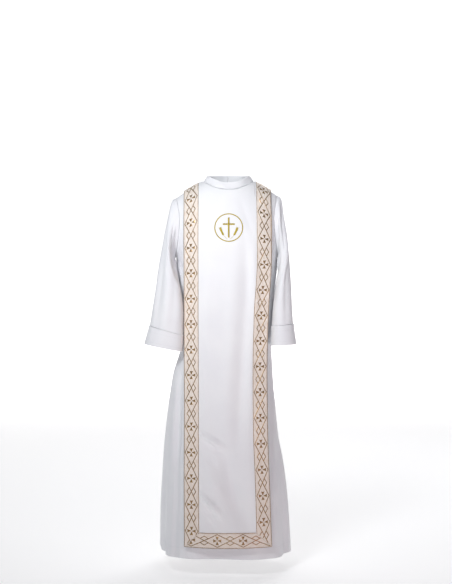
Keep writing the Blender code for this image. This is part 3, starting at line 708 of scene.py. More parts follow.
def woven(tree, shader, colours):
    """Twill threads, slubs and a faint change of tone, from the object's coordinates."""
    place = add_node(tree, "ShaderNodeTexCoord")
    bumps = []
    for turn in TWILL_TURNS:
        mapping = add_node(tree, "ShaderNodeMapping")
        mapping.inputs["Rotation"].default_value = turn
        tree.links.new(place.outputs["Object"], mapping.inputs["Vector"])
        wave = add_node(tree, "ShaderNodeTexWave", wave_type="BANDS", bands_direction="X")
        wave.inputs["Scale"].default_value = 1.0 / THREAD_PITCH
        wave.inputs["Distortion"].default_value = 1.2
        wave.inputs["Detail"].default_value = 1.0
        tree.links.new(mapping.outputs["Vector"], wave.inputs["Vector"])
        bumps.append(wave.outputs["Fac"])
    threads = add_node(tree, "ShaderNodeMath", operation="MULTIPLY")
    tree.links.new(bumps[0], threads.inputs[0])
    tree.links.new(bumps[1], threads.inputs[1])
    stretched = add_node(tree, "ShaderNodeMapping")
    stretched.inputs["Scale"].default_value = SLUB_SCALE
    tree.links.new(place.outputs["Object"], stretched.inputs["Vector"])
    slubs = add_node(tree, "ShaderNodeTexNoise")
    slubs.inputs["Scale"].default_value = 1.0
    slubs.inputs["Detail"].default_value = 3.0
    tree.links.new(stretched.outputs["Vector"], slubs.inputs["Vector"])
    first = add_node(tree, "ShaderNodeBump")
    first.inputs["Strength"].default_value = 0.35
    first.inputs["Distance"].default_value = WEAVE_DEPTH
    tree.links.new(threads.outputs[0], first.inputs["Height"])
    second = add_node(tree, "ShaderNodeBump")
    second.inputs["Strength"].default_value = 0.25
    second.inputs["Distance"].default_value = SLUB_DEPTH
    tree.links.new(slubs.outputs["Fac"], second.inputs["Height"])
    tree.links.new(first.outputs["Normal"], second.inputs["Normal"])
    tree.links.new(second.outputs["Normal"], shader.inputs["Normal"])
    tone = add_node(tree, "ShaderNodeTexNoise")
    tone.inputs["Scale"].default_value = TONE_SCALE
    tone.inputs["Detail"].default_value = 4.0
    tree.links.new(place.outputs["Object"], tone.inputs["Vector"])
    ramp = add_node(tree, "ShaderNodeValToRGB")
    ramp.color_ramp.elements[0].position = 0.35
    ramp.color_ramp.elements[0].color = (*colours[0], 1.0)
    ramp.color_ramp.elements[1].position = 0.65
    ramp.color_ramp.elements[1].color = (*colours[1], 1.0)
    tree.links.new(tone.outputs["Fac"], ramp.inputs["Fac"])
    tree.links.new(ramp.outputs["Color"], shader.inputs["Base Color"])


def cloth_look(name, colours):
    look, tree, shader = node_tree(name, colours[0], 0.78, 0.18)
    woven(tree, shader, colours)
    return look


def galloon_look():
    """Cream ribbed ribbon with fine gold threads running along it."""
    look, tree, shader = node_tree("galloon_ground", (0.86, 0.78, 0.69), 0.55, 0.25,
                                   (1.0, 0.94, 0.84, 1.0))
    place = add_node(tree, "ShaderNodeUVMap", uv_map="cloth")
    ribs = add_node(tree, "ShaderNodeTexWave", wave_type="BANDS", bands_direction="Y")
    ribs.inputs["Scale"].default_value = RIB_SCALE
    ribs.inputs["Distortion"].default_value = 0.6
    tree.links.new(place.outputs["UV"], ribs.inputs["Vector"])
    bump = add_node(tree, "ShaderNodeBump")
    bump.inputs["Strength"].default_value = 0.4
    bump.inputs["Distance"].default_value = RIB_DEPTH
    tree.links.new(ribs.outputs["Fac"], bump.inputs["Height"])
    tree.links.new(bump.outputs["Normal"], shader.inputs["Normal"])
    stretched = add_node(tree, "ShaderNodeMapping")
    stretched.inputs["Scale"].default_value = FLECK_SCALE
    tree.links.new(place.outputs["UV"], stretched.inputs["Vector"])
    flecks = add_node(tree, "ShaderNodeTexNoise")
    flecks.inputs["Scale"].default_value = 1.0
    flecks.inputs["Detail"].default_value = 2.0
    tree.links.new(stretched.outputs["Vector"], flecks.inputs["Vector"])
    ramp = add_node(tree, "ShaderNodeValToRGB")
    ramp.color_ramp.elements[0].position = 0.40
    ramp.color_ramp.elements[0].color = (0.80, 0.68, 0.575, 1.0)
    ramp.color_ramp.elements[1].position = 0.62
    ramp.color_ramp.elements[1].color = (0.93, 0.86, 0.795, 1.0)
    tree.links.new(flecks.outputs["Fac"], ramp.inputs["Fac"])
    tree.links.new(ramp.outputs["Color"], shader.inputs["Base Color"])
    return look


def thread_look(name, dark, light, roughness, metallic):
    look, tree, shader = node_tree(name, light, roughness, 0.0)
    shader.inputs["Metallic"].default_value = metallic
    place = add_node(tree, "ShaderNodeTexCoord")
    glint = add_node(tree, "ShaderNodeTexNoise")
    glint.inputs["Scale"].default_value = GLINT_SCALE
    glint.inputs["Detail"].default_value = 2.0
    tree.links.new(place.outputs["Object"], glint.inputs["Vector"])
    ramp = add_node(tree, "ShaderNodeValToRGB")
    ramp.color_ramp.elements[0].position = 0.38
    ramp.color_ramp.elements[0].color = (*dark, 1.0)
    ramp.color_ramp.elements[1].position = 0.62
    ramp.color_ramp.elements[1].color = (*light, 1.0)
    tree.links.new(glint.outputs["Fac"], ramp.inputs["Fac"])
    tree.links.new(ramp.outputs["Color"], shader.inputs["Base Color"])
    return look


WHITE = cloth_look("white_suiting", ((0.83, 0.83, 0.855), (0.87, 0.87, 0.885)))
# Painted light: the panel is the robe's own white suiting, drawn a little lighter so that it reads
# as more lit than the robe
PANEL_WHITE_PAINTED_LIGHTER = cloth_look("panel_suiting_painted_lighter", ((0.85, 0.85, 0.87), (0.885, 0.885, 0.895)))
GALLOON = galloon_look()
LUREX = thread_look("gold_lurex", (0.17, 0.095, 0.04), (0.54, 0.35, 0.155), 0.36, 0.80)
EMBROIDERY = thread_look("gold_embroidery", (0.38, 0.28, 0.02), (0.70, 0.55, 0.07), 0.40, 0.20)
WHITE_THREAD = thread_look("white_thread", (0.70, 0.70, 0.73), (0.80, 0.80, 0.82), 0.60, 0.0)


def link_in(tree, name, kind, value=None):
    socket = tree.interface.new_socket(name=name, in_out="INPUT", socket_type=kind)
    if value is not None:
        socket.default_value = value
    return socket.identifier


def start_tree(name):
    tree = bpy.data.node_groups.new(name, "GeometryNodeTree")
    link_in(tree, "Geometry", "NodeSocketGeometry")
    tree.interface.new_socket(name="Geometry", in_out="OUTPUT", socket_type="NodeSocketGeometry")
    return tree


def finish_tree(tree, geometry, group_in):
    material = add_node(tree, "GeometryNodeSetMaterial")
    tree.links.new(geometry, material.inputs["Geometry"])
    tree.links.new(group_in.outputs["Material"], material.inputs["Material"])
    group_out = add_node(tree, "NodeGroupOutput")
    tree.links.new(material.outputs["Geometry"], group_out.inputs["Geometry"])


def ribbon_tree():
    """Lays repeats of a flat motif along a band, by the band's own UV places."""
    tree = start_tree("galloon_repeats")
    keys = {
        "Motif": link_in(tree, "Motif", "NodeSocketObject"),
        "Repeats": link_in(tree, "Repeats", "NodeSocketInt", 14),
        "Pitch": link_in(tree, "Pitch", "NodeSocketFloat", 0.0745),
        "Start": link_in(tree, "Start", "NodeSocketFloat", 0.0),
        "Material": link_in(tree, "Material", "NodeSocketMaterial"),
    }
    group_in = add_node(tree, "NodeGroupInput")
    links = tree.links
    step = add_node(tree, "ShaderNodeCombineXYZ")
    first = add_node(tree, "ShaderNodeCombineXYZ")
    links.new(group_in.outputs["Pitch"], step.inputs["Y"])
    links.new(group_in.outputs["Start"], first.inputs["Y"])
    line = add_node(tree, "GeometryNodeMeshLine", mode="OFFSET")
    links.new(group_in.outputs["Repeats"], line.inputs["Count"])
    links.new(first.outputs["Vector"], line.inputs["Start Location"])
    links.new(step.outputs["Vector"], line.inputs["Offset"])
    motif = add_node(tree, "GeometryNodeObjectInfo", transform_space="ORIGINAL")
    links.new(group_in.outputs["Motif"], motif.inputs["Object"])
    lay = add_node(tree, "GeometryNodeInstanceOnPoints")
    links.new(line.outputs["Mesh"], lay.inputs["Points"])
    links.new(motif.outputs["Geometry"], lay.inputs["Instance"])
    real = add_node(tree, "GeometryNodeRealizeInstances")
    links.new(lay.outputs["Instances"], real.inputs["Geometry"])
    uv = add_node(tree, "GeometryNodeInputNamedAttribute", data_type="FLOAT_VECTOR")
    uv.inputs["Name"].default_value = "cloth"
    place = add_node(tree, "GeometryNodeInputPosition")
    normal = add_node(tree, "GeometryNodeInputNormal")
    sampled = {}
    for name, value in (("place", place.outputs["Position"]), ("normal", normal.outputs["Normal"])):
        sample = add_node(tree, "GeometryNodeSampleUVSurface", data_type="FLOAT_VECTOR")
        links.new(group_in.outputs["Geometry"], sample.inputs["Mesh"])
        links.new(value, sample.inputs["Value"])
        links.new(uv.outputs["Attribute"], sample.inputs["UV Map"])
        links.new(place.outputs["Position"], sample.inputs["Sample UV"])
        sampled[name] = sample
    split = add_node(tree, "ShaderNodeSeparateXYZ")
    links.new(place.outputs["Position"], split.inputs["Vector"])
    out = add_node(tree, "ShaderNodeVectorMath", operation="SCALE")
    links.new(sampled["normal"].outputs["Value"], out.inputs["Vector"])
    links.new(split.outputs["Z"], out.inputs["Scale"])
    total = add_node(tree, "ShaderNodeVectorMath", operation="ADD")
    links.new(sampled["place"].outputs["Value"], total.inputs[0])
    links.new(out.outputs["Vector"], total.inputs[1])
    outside = add_node(tree, "FunctionNodeBooleanMath", operation="NOT")
    links.new(sampled["place"].outputs["Is Valid"], outside.inputs[0])
    keep = add_node(tree, "GeometryNodeDeleteGeometry", domain="POINT")
    links.new(real.outputs["Geometry"], keep.inputs["Geometry"])
    links.new(outside.outputs["Boolean"], keep.inputs["Selection"])
    set_place = add_node(tree, "GeometryNodeSetPosition")
    links.new(keep.outputs["Geometry"], set_place.inputs["Geometry"])
    links.new(total.outputs["Vector"], set_place.inputs["Position"])
    finish_tree(tree, set_place.outputs["Geometry"], group_in)
    return tree, keys


def stitch_tree():
    """Lays a stitch at even steps along each seam line; a line's normal is kept per point."""
    tree = start_tree("stitches_along")
    keys = {
        "Stitch": link_in(tree, "Stitch", "NodeSocketObject"),
        "Step": link_in(tree, "Step", "NodeSocketFloat", 0.0032),
        "Material": link_in(tree, "Material", "NodeSocketMaterial"),
    }
    group_in = add_node(tree, "NodeGroupInput")
    links = tree.links
    curve = add_node(tree, "GeometryNodeMeshToCurve")
    links.new(group_in.outputs["Geometry"], curve.inputs["Mesh"])
    spaced = add_node(tree, "GeometryNodeResampleCurve", mode="LENGTH")
    links.new(curve.outputs["Curve"], spaced.inputs["Curve"])
    links.new(group_in.outputs["Step"], spaced.inputs["Length"])
    stitch = add_node(tree, "GeometryNodeObjectInfo", transform_space="ORIGINAL")
    links.new(group_in.outputs["Stitch"], stitch.inputs["Object"])
    tangent = add_node(tree, "GeometryNodeInputTangent")
    out = add_node(tree, "GeometryNodeInputNamedAttribute", data_type="FLOAT_VECTOR")
    out.inputs["Name"].default_value = "out"
    along = add_node(tree, "FunctionNodeAlignRotationToVector", axis="X")
    links.new(tangent.outputs["Tangent"], along.inputs["Vector"])
    facing = add_node(tree, "FunctionNodeAlignRotationToVector", axis="Z", pivot_axis="X")
    links.new(along.outputs["Rotation"], facing.inputs["Rotation"])
    links.new(out.outputs["Attribute"], facing.inputs["Vector"])
    lay = add_node(tree, "GeometryNodeInstanceOnPoints")
    links.new(spaced.outputs["Curve"], lay.inputs["Points"])
    links.new(stitch.outputs["Geometry"], lay.inputs["Instance"])
    links.new(facing.outputs["Rotation"], lay.inputs["Rotation"])
    real = add_node(tree, "GeometryNodeRealizeInstances")
    links.new(lay.outputs["Instances"], real.inputs["Geometry"])
    finish_tree(tree, real.outputs["Geometry"], group_in)
    return tree, keys


def grown(name, base_mesh, tree, keys, values, slot):
    """Runs a tree on a mesh and keeps the plain mesh that it makes as a piece."""
    host = bpy.data.objects.new(name + "_host", base_mesh)
    bpy.context.scene.collection.objects.link(host)
    modifier = host.modifiers.new(name, "NODES")
    modifier.node_group = tree
    for key, value in values.items():
        modifier[keys[key]] = value
    host.update_tag()
    bpy.context.view_layer.update()
    shown = host.evaluated_get(bpy.context.evaluated_depsgraph_get())
    mesh = bpy.data.meshes.new_from_object(shown)
    mesh.name = name
    bpy.data.objects.remove(host)
    mesh.materials.clear()
    mesh.materials.append(values["Material"])
    piece = bpy.data.objects.new(name, mesh)
    bpy.context.scene.collection.objects.link(piece)
    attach(piece, "root")
    return piece


def pattern_object(name, points, faces):
    """A small motif or stitch that the trees lay; it is removed once they have run."""
    mesh = bpy.data.meshes.new(name)
    mesh.from_pydata(points, [], faces)
    mesh.update()
    made = bpy.data.objects.new(name, mesh)
    bpy.context.scene.collection.objects.link(made)
    return made


def stitch_mesh(name, length, width, height):
    """A raised thread along X: a closed tapering body with six sides."""
    points, faces = [], []
    stations = ((-0.5, 0.25), (-0.3, 0.9), (0.0, 1.0), (0.3, 0.9), (0.5, 0.25))
    sides = 6
    for place, share in stations:
        for k in range(sides):
            turn = 2 * math.pi * k / sides
            points.append((place * length, share * width / 2 * math.cos(turn),
                           share * height / 2 * (1 + math.sin(turn))))
    for r in range(len(stations) - 1):
        for k in range(sides):
            a, b = r * sides + k, r * sides + (k + 1) % sides
            faces.append((a, b, b + sides, a + sides))
    faces.append(tuple(range(sides))[::-1])
    faces.append(tuple(range(sides * (len(stations) - 1), sides * len(stations))))
    return pattern_object(name, points, [f[::-1] for f in faces])


def seam_mesh(name, lines):
    """Edges along each line of points, with the way out of the cloth kept per point."""
    points, edges, outs = [], [], []
    for line, out in lines:
        start = len(points)
        points += [tuple(p) for p in line]
        outs += [tuple(o) for o in out]
        edges += [(start + i, start + i + 1) for i in range(len(line) - 1)]
    mesh = bpy.data.meshes.new(name)
    mesh.from_pydata(points, edges, [])
    attribute = mesh.attributes.new("out", "FLOAT_VECTOR", "POINT")
    attribute.data.foreach_set("vector", np.array(outs, dtype=np.float32).ravel())
    return mesh


def thread_rows(count, low, high, thickness):
    """Even rows between two levels, with three close rows at each end for a rounded edge."""
    near = np.array([0.0, 0.25, 0.6]) * thickness / 2
    inner = np.linspace(low + thickness / 2, high - thickness / 2, count)
    return np.concatenate([low + near, inner, high - near[::-1]])


def body_columns(side):
    """Columns from the middle to the side seam, close together at the corner of the neck."""
    x = NECK_HALF * np.sin(np.linspace(0.0, math.pi / 2, NECK_COLUMNS + 1))
    neck = across_place(x / yoke_half(np.float64(side), 1.0)) / armhole_edge(1.0)
    return np.concatenate([neck, np.linspace(neck[-1], 1.0, SIDE_COLUMNS + 1)[1:]])


def body_levels():
    skirt = thread_rows(SKIRT_ROWS, HEM_Z - UNDERARM_Z, HANGING_TOP, DOUBLED_CLOTH)[:-3]
    return np.concatenate([skirt, np.linspace(0.0, 1.0, YOKE_ROWS) ** YOKE_SPREAD])


def dressed_body(facing, places):
    """A body panel with its creases and ripples, before it gets its thickness."""
    s, level = place_grid(places, body_levels())
    folds = FRONT_FOLDS if facing < 0 else BACK_FOLDS
    points = robe_points(facing, folds, s, level)
    creases = ROBE_FRONT_CREASES if facing < 0 else ROBE_BACK_CREASES
    x, z = points[..., 0], points[..., 2]
    height = creased(x, z, creases) + rippled(x * facing, z)
    height *= (1 - ease(np.abs(s), *SIDE_FADE)) * (1 - ease(level, *SHOULDER_FADE))
    return moved_out(points, height)


def make_body():
    left, right = body_columns(-1), body_columns(1)
    front = dressed_body(-1, np.concatenate([-left[:0:-1], right]))
    front[..., 1] -= SEAM_GAP / 2
    made = {"robe_front": shell("front_panel", front, ROBE_CLOTH, WHITE)}
    halves = (("right", right[::-1], 1), ("left", -left, -1))
    for word, places, aside in halves:
        back = dressed_body(1, places)
        seam = bell(back[..., 0], BACK_SEAM_HALF) * (np.abs(places) < BACK_SEAM_REACH)
        back = moved_out(back, -BACK_SEAM_DENT * seam)
        back[..., 0] += aside * SEAM_GAP / 2
        back[..., 1] += SEAM_GAP / 2
        made["robe_back_" + word] = shell("back_panel_" + word, back, ROBE_CLOTH,
                                          WHITE)
    return made, front


def sleeve_creases(side):
    return LEFT_SLEEVE_CREASES if side < 0 else RIGHT_SLEEVE_CREASES


def sleeve_height(side, u, v):
    g, h = u * SLEEVE_GIRTH, v * SLEEVE_LENGTH
    ripple = rippled(g * 1.4 + side, h) * np.sin(math.pi * (u % 1.0)) ** 2
    return creased(g, h, sleeve_creases(side)) + ripple


def make_sleeve(side):
    word = "left" if side < 0 else "right"
    table = LEFT_SLEEVE if side < 0 else RIGHT_SLEEVE
    end = LEFT_CUFF_END if side < 0 else RIGHT_CUFF_END
    around = np.arange(SLEEVE_COLUMNS) / SLEEVE_COLUMNS
    down = thread_rows(SLEEVE_ROWS, 0.0, 1.0, ROBE_CLOTH / SLEEVE_LENGTH)
    u, v = place_grid(around, down)
    first = table[0, 1:]
    tube = sleeve_points(side, first, rows_at(table, v), u, ease(v, 0.0, SLEEVE_BLEND))
    tube[..., 0] += side * ARMHOLE_GAP
    height = sleeve_height(side, u, v) * ease(v, *ARMHOLE_FADE)
    tube = moved_out(tube, height, True, -side)
    sleeve = shell("sleeve_" + word + "_cloth", tube, ROBE_CLOTH, WHITE,
                   closed=True, flip=side > 0)

    drop = np.linalg.norm(end[[0, 1]] - table[-1, 1:][[0, 1]])
    along = thread_rows(CUFF_ROWS, 0.0, drop, DOUBLED_CLOTH) / drop
    u, v = place_grid(around, along)
    rows = table[-1, 1:] * (1 - v[..., None]) + end * v[..., None]
    cuff = sleeve_points(side, first, rows, u, 1.0)
    cuff[..., 0] += side * ARMHOLE_GAP
    cuff[..., 2] -= 2 * SEAM_GAP
    height = sleeve_height(side, u, np.ones_like(v)) * (1 - 0.6 * v)
    roll, roll_place, roll_half = CUFF_ROLL
    dip, dip_place, dip_half = CUFF_DIP
    rolled = (roll * bell(v * drop - roll_place, roll_half)
              - dip * bell(v * drop - dip_place, dip_half))
    rolled *= 0.3 + 0.7 * np.sin(math.pi * u) ** 2
    cuff = moved_out(cuff, height + CUFF_STANDS_OUT + rolled, True, -side)
    band = shell("cuff_" + word + "_band", cuff, DOUBLED_CLOTH, WHITE,
                 closed=True, flip=side > 0, soft_ends=3)
    return {"sleeve_" + word: sleeve, "cuff_" + word: band}, tube, cuff


def make_collar():
    around = COLLAR_OPEN + (1 - 2 * COLLAR_OPEN) * np.linspace(0.0, 1.0, COLLAR_COLUMNS)
    u, v = place_grid(around, thread_rows(COLLAR_ROWS, 0.0, COLLAR_TALL, DOUBLED_CLOTH)
                      / COLLAR_TALL)
    points = collar_points(u, v)
    points[..., 2] += 2 * SEAM_GAP
    wave = COLLAR_WAVE * np.sin(14 * math.pi * u + 0.7) * np.sin(math.pi * v)
    dent, dent_place, dent_half = COLLAR_STITCH_DENT
    stitch = -dent * bell((v - dent_place) * COLLAR_TALL, dent_half)
    points = moved_out(points, wave + stitch)
    return shell("collar_band", points, DOUBLED_CLOTH, WHITE,
                 soft_ends=3), points


def panel_cloth(facing, a, level, lift=0.0):
    """Outer face of a hanging panel with its creases, raised by a lift."""
    points = panel_points(facing, a, level)
    height = panel_height(facing, points) * (1 - ease(level, *SHOULDER_FADE))
    return moved_out(points, height + PANEL_OVER_ROBE + lift, sign=-facing)


def panel_height(facing, points):
    x, z = points[..., 0], points[..., 2]
    creases = PANEL_FRONT_CREASES if facing < 0 else PANEL_BACK_CREASES
    return creased(x, z, creases) + 0.8 * rippled(x * facing + 2.0, z)


def chest_points(x, z, lift):
    """Points and the ways out of the cloth at places round the emblem's middle."""
    x, z = EMBLEM_X + np.asarray(x, dtype=float), EMBLEM_Z + np.asarray(z, dtype=float)
    rise = (z - UNDERARM_Z) / (shoulder_line(x) - UNDERARM_Z)
    t = np.arcsin(rise ** (OVER_FRONT_ROUND / 2)) / (math.pi / 2)
    step = 1e-4
    points = settled(-1, panel_over(-1, x, t))
    out = np.cross(settled(-1, panel_over(-1, x + step, t)) - points,
                   settled(-1, panel_over(-1, x, t + step)) - points)
    out /= np.linalg.norm(out, axis=-1, keepdims=True)
    height = panel_height(-1, points) + PANEL_OVER_ROBE + ROBE_CLOTH + lift
    points = points + out * height[..., None]
    points[..., 1] -= SEAM_GAP / 2
    return points, out


def panel_columns():
    neck = -PANEL_TOP_LEFT + (NECK_HALF + PANEL_NECK_CLEAR) * np.sin(
        np.linspace(-math.pi / 2, math.pi / 2, PANEL_NECK_COLUMNS + 1))
    edge = np.linspace(0.0, GALLOON_WIDTH, TRIM_COLUMNS + 1)
    return np.concatenate([edge, neck, PANEL_TOP_WIDTH - edge[::-1]])


def panel_levels():
    low = thread_rows(PANEL_ROWS, PANEL_HEM_Z - UNDERARM_Z, HANGING_TOP, ROBE_CLOTH)[:-3]
    return np.concatenate([low, np.linspace(0.0, 1.0, YOKE_ROWS) ** YOKE_SPREAD])


def arc_lengths(facing, a, levels):
    line = panel_points(facing, np.full_like(levels, a), levels)
    steps = np.linalg.norm(np.diff(line, axis=0), axis=1)
    return np.concatenate([[0.0], np.cumsum(steps)])


def trim_grid(facing, part):
    """Places on the panel and on the ribbon for one of the three bands of trim."""
    low = PANEL_HEM_Z - UNDERARM_Z
    w = GALLOON_WIDTH
    if part == "hem":
        rows = np.linspace(0.0, w, TRIM_COLUMNS + 1)
        share = np.linspace(0.0, 1.0, HEM_COLUMNS + 1)
        f, r = np.meshgrid(share, rows)
        a = r + MITRE_GAP + f * (PANEL_TOP_WIDTH - 2 * r - 2 * MITRE_GAP)
        uv = np.stack([w / 2 - r, a - PANEL_TOP_WIDTH / 2], axis=-1)
        return a, low + r, uv
    levels = np.concatenate([np.linspace(low, low + 2 * w, 20)[:-1],
                             np.linspace(low + 2 * w, 0.0, 150)[:-1],
                             np.linspace(0.0, 1.0, YOKE_ROWS) ** YOKE_SPREAD])
    across_trim, level = place_grid(np.linspace(0.0, w, TRIM_COLUMNS + 1), levels)
    start = low + across_trim
    level = np.where(level < low + 2 * w, start + (level - low) * (2 * w - across_trim) / (2 * w),
                     level)
    lengths = arc_lengths(facing, w / 2, levels)
    along = np.interp(level, levels, lengths)
    a = across_trim if part == "left" else PANEL_TOP_WIDTH - across_trim
    if part == "right":
        a, level, along, across_trim = (v[:, ::-1] for v in (a, level, along, across_trim))
    uv = np.stack([(across_trim - w / 2) * (1 if part == "left" else -1), along], axis=-1)
    return a, level, uv


def make_panel(facing):
    word = "front" if facing < 0 else "back"
    gap = facing * SEAM_GAP / 2
    a, level = place_grid(panel_columns(), panel_levels())
    cloth = panel_cloth(facing, a, level)
    cloth[..., 1] += gap
    made = {"scapular_" + word: shell("panel_" + word, cloth, ROBE_CLOTH,
                                      PANEL_WHITE_PAINTED_LIGHTER, flip=facing > 0, lift=ROBE_CLOTH)}
    strips = {}
    for part in ("left", "right", "hem"):
        a, level, uv = trim_grid(facing, part)
        band = panel_cloth(facing, a, level, ROBE_CLOTH + SEAM_GAP)
        band[..., 1] += gap
        name = "galloon_" + word + "_" + part
        made[name] = shell("trim_" + word + "_" + part, band, GALLOON_CLOTH,
                           GALLOON, flip=facing > 0, lift=GALLOON_CLOTH, uv=uv)
        strips[part] = (moved_out(band, np.full(band.shape[:2], GALLOON_CLOTH), sign=-facing), uv)
    return made, strips


def line_band(corners, width, height, step=0.0022):
    """A raised line in the plane through the corners, with mitred turns and a flat foot."""
    corners = np.asarray(corners, dtype=float)
    places, ways = [], []
    last = len(corners) - 2
    for i, (start, end) in enumerate(zip(corners[:-1], corners[1:])):
        way = (end - start) / np.linalg.norm(end - start)
        count = max(1, int(round(np.linalg.norm(end - start) / step)))
        for k in range(count + (1 if i == last else 0)):
            places.append(start + (end - start) * k / count)
            side = np.array([-way[1], way[0]])
            if k == 0 and i > 0:
                side = side + np.array([-before[1], before[0]])
                side /= 1 + way @ before
            ways.append(side)
        before = way
    places, ways = np.array(places), np.array(ways)
    count = len(places)
    points = []
    for offset, tall in ((-0.5, 0.0), (-0.3, 0.8), (0.3, 0.8), (0.5, 0.0)):
        flat = places + ways * offset * width
        points.append(np.column_stack([flat, np.full(count, tall * height)]))
    points = np.concatenate(points)
    faces = []
    for i in range(count - 1):
        for lane, following in ((0, 1), (1, 2), (2, 3), (3, 0)):
            faces.append((lane * count + i, lane * count + i + 1,
                          following * count + i + 1, following * count + i))
    faces.append((0, count, 2 * count, 3 * count))
    faces.append((count - 1, 4 * count - 1, 3 * count - 1, 2 * count - 1))
    return points, [face[::-1] for face in faces]


def petal(turn):
    """One flared arm of the cross, crowned, with a hollow outer end."""
    rows, columns = 7, 7
    f, g = np.meshgrid(np.linspace(-1, 1, columns), np.linspace(0, 1, rows))
    half = PETAL_ROOT + (PETAL_HALF - PETAL_ROOT) * g ** PETAL_FLARE
    reach = PETAL_FROM + (PETAL_TO - PETAL_FROM) * g - PETAL_HOLLOW * g * (1 - f ** 2)
    tall = PETAL_CROWN * LINE_TALL * (1 - f ** 4) * np.clip(8 * g, 0, 1) * np.clip(8 * (1 - g), 0, 1)
    c, s = math.cos(turn), math.sin(turn)
    points = np.stack([c * reach - s * half * f, s * reach + c * half * f, tall], axis=-1)
    faces = [tuple(face) for face in grid_faces(rows, columns)]
    rim = ([(0, c) for c in range(columns)] + [(r, columns - 1) for r in range(1, rows)]
           + [(rows - 1, c) for c in range(columns - 2, -1, -1)]
           + [(r, 0) for r in range(rows - 2, 0, -1)])
    faces = [face[::-1] for face in faces] + [tuple(r * columns + c for r, c in rim)]
    return points.reshape(-1, 3), faces


def joined(parts):
    points, faces, start = [], [], 0
    for part_points, part_faces in parts:
        points.append(part_points)
        faces += [tuple(int(i) + start for i in face) for face in part_faces]
        start += len(part_points)
    return np.concatenate(points), faces


def galloon_motif(name, pitch):
    half = pitch / 2
    parts = []
    for side in (-1, 1):
        zigzag = [(0, -half), (side * ZIGZAG_HALF, 0), (0, half)]
        parts.append(line_band(zigzag, LINE_WIDTH, LINE_TALL))
        edge = [(side * EDGE_LINE, -half), (side * EDGE_LINE, half)]
        parts.append(line_band(edge, EDGE_WIDTH, LINE_TALL, 0.004))
        for end in (-1, 1):
            chevron = [(side * CHEVRON_TIP, end * half),
                       (side * CHEVRON_END, end * (half - CHEVRON_HALF))]
            parts.append(line_band(chevron, LINE_WIDTH, LINE_TALL))
    parts += [petal(math.pi / 2 * k) for k in range(4)]
    points, faces = joined(parts)
    return pattern_object(name, [tuple(p) for p in points], faces)


def ribbon_pattern(name, strip, motif, pitch, first, tree, keys):
    """The woven pattern on one strip of trim, from its outer face alone."""
    top, uv = strip
    rows, columns = top.shape[:2]
    mesh = bpy.data.meshes.new(name + "_strip")
    faces = grid_faces(rows, columns)
    side = np.cross(top[1, 1] - top[1, 0], top[2, 0] - top[1, 0])
    if side[1] * top[1, 0][1] < 0:
        faces = faces[:, ::-1]
    mesh.from_pydata([tuple(p) for p in top.reshape(-1, 3)], [], faces.tolist())
    layer = mesh.uv_layers.new(name="cloth")
    vertex = np.empty(len(mesh.loops), dtype=np.int32)
    mesh.loops.foreach_get("vertex_index", vertex)
    layer.data.foreach_set("uv", uv.reshape(-1, 2)[vertex].astype(np.float32).ravel())
    low, high = uv[..., 1].min(), uv[..., 1].max()
    before = math.ceil((first - low) / pitch + 0.5)
    repeats = before + math.ceil((high - first) / pitch + 0.5)
    values = {"Motif": motif, "Repeats": repeats, "Pitch": pitch,
              "Start": first - before * pitch, "Material": LUREX}
    return grown(name, mesh, tree, keys, values, "galloon")


def laid_forms(name, form, places, ways, sizes, lift=0.0):
    """Copies of a small flat-footed form embroidered on the chest, as one mesh."""
    points, faces = form
    places, ways, sizes = (np.asarray(v, dtype=float) for v in (places, ways, sizes))
    ways = ways / np.linalg.norm(ways, axis=1, keepdims=True)
    base = points[None] * sizes[:, None, :]
    x = places[:, None, 0] + base[..., 0] * ways[:, None, 0] - base[..., 1] * ways[:, None, 1]
    z = places[:, None, 1] + base[..., 0] * ways[:, None, 1] + base[..., 1] * ways[:, None, 0]
    foot, out = chest_points(x, z, lift)
    laid = foot + out * base[..., 2:3]
    count = len(points)
    all_faces = [tuple(i + k * count for i in face) for k in range(len(places)) for face in faces]
    return add_piece(name, laid.reshape(-1, 3), all_faces, EMBROIDERY)


def thread_form(sides=6, stations=5):
    """A thread of unit length, width and height lying along x, thin at its ends."""
    points, faces = [], []
    for i in range(stations):
        along = i / (stations - 1) - 0.5
        share = 0.35 + 0.65 * math.cos(math.pi * along) ** 0.5 if abs(along) < 0.5 else 0.35
        for k in range(sides):
            turn = 2 * math.pi * k / sides
            points.append((along, share * math.cos(turn) / 2, share * (0.5 + 0.5 * math.sin(turn))))
    for r in range(stations - 1):
        for k in range(sides):
            a, b = r * sides + k, r * sides + (k + 1) % sides
            faces.append((a, a + sides, b + sides, b))
    faces.append(tuple(range(sides)))
    faces.append(tuple(range(sides * (stations - 1), sides * stations))[::-1])
    return np.array(points), faces


def padding(name, outline_rows, closed):
    """Padding under satin stitches: a thin closed band between two chest outlines."""
    grid = np.array([chest_points(row[:, 0], row[:, 1], PADDING_LIFT)[0] for row in outline_rows])
    return shell(name, grid, PADDING_TALL, EMBROIDERY, closed=closed,
                 lift=PADDING_TALL)


def make_ring(thread):
    middle = EMBLEM_RADIUS - EMBLEM_LINE / 2
    turns = 2 * math.pi * np.arange(RING_PLACES) / RING_PLACES
    rows = [np.column_stack([r * np.cos(turns), r * np.sin(turns)])
            for r in (EMBLEM_RADIUS - PADDING_INSET, middle,
                      EMBLEM_RADIUS - EMBLEM_LINE + PADDING_INSET)]
    under = padding("emblem_ring_padding", rows, True)

    turns = 2 * math.pi * np.arange(RING_STITCHES) / RING_STITCHES
    places = np.column_stack([middle * np.cos(turns), middle * np.sin(turns)])
    slant = turns + RING_SLANT
    ways = np.column_stack([np.cos(slant), np.sin(slant)])
    return under, laid_forms("emblem_ring_satin", thread, places, ways,
                             [RING_STITCH] * RING_STITCHES, PADDING_LIFT)


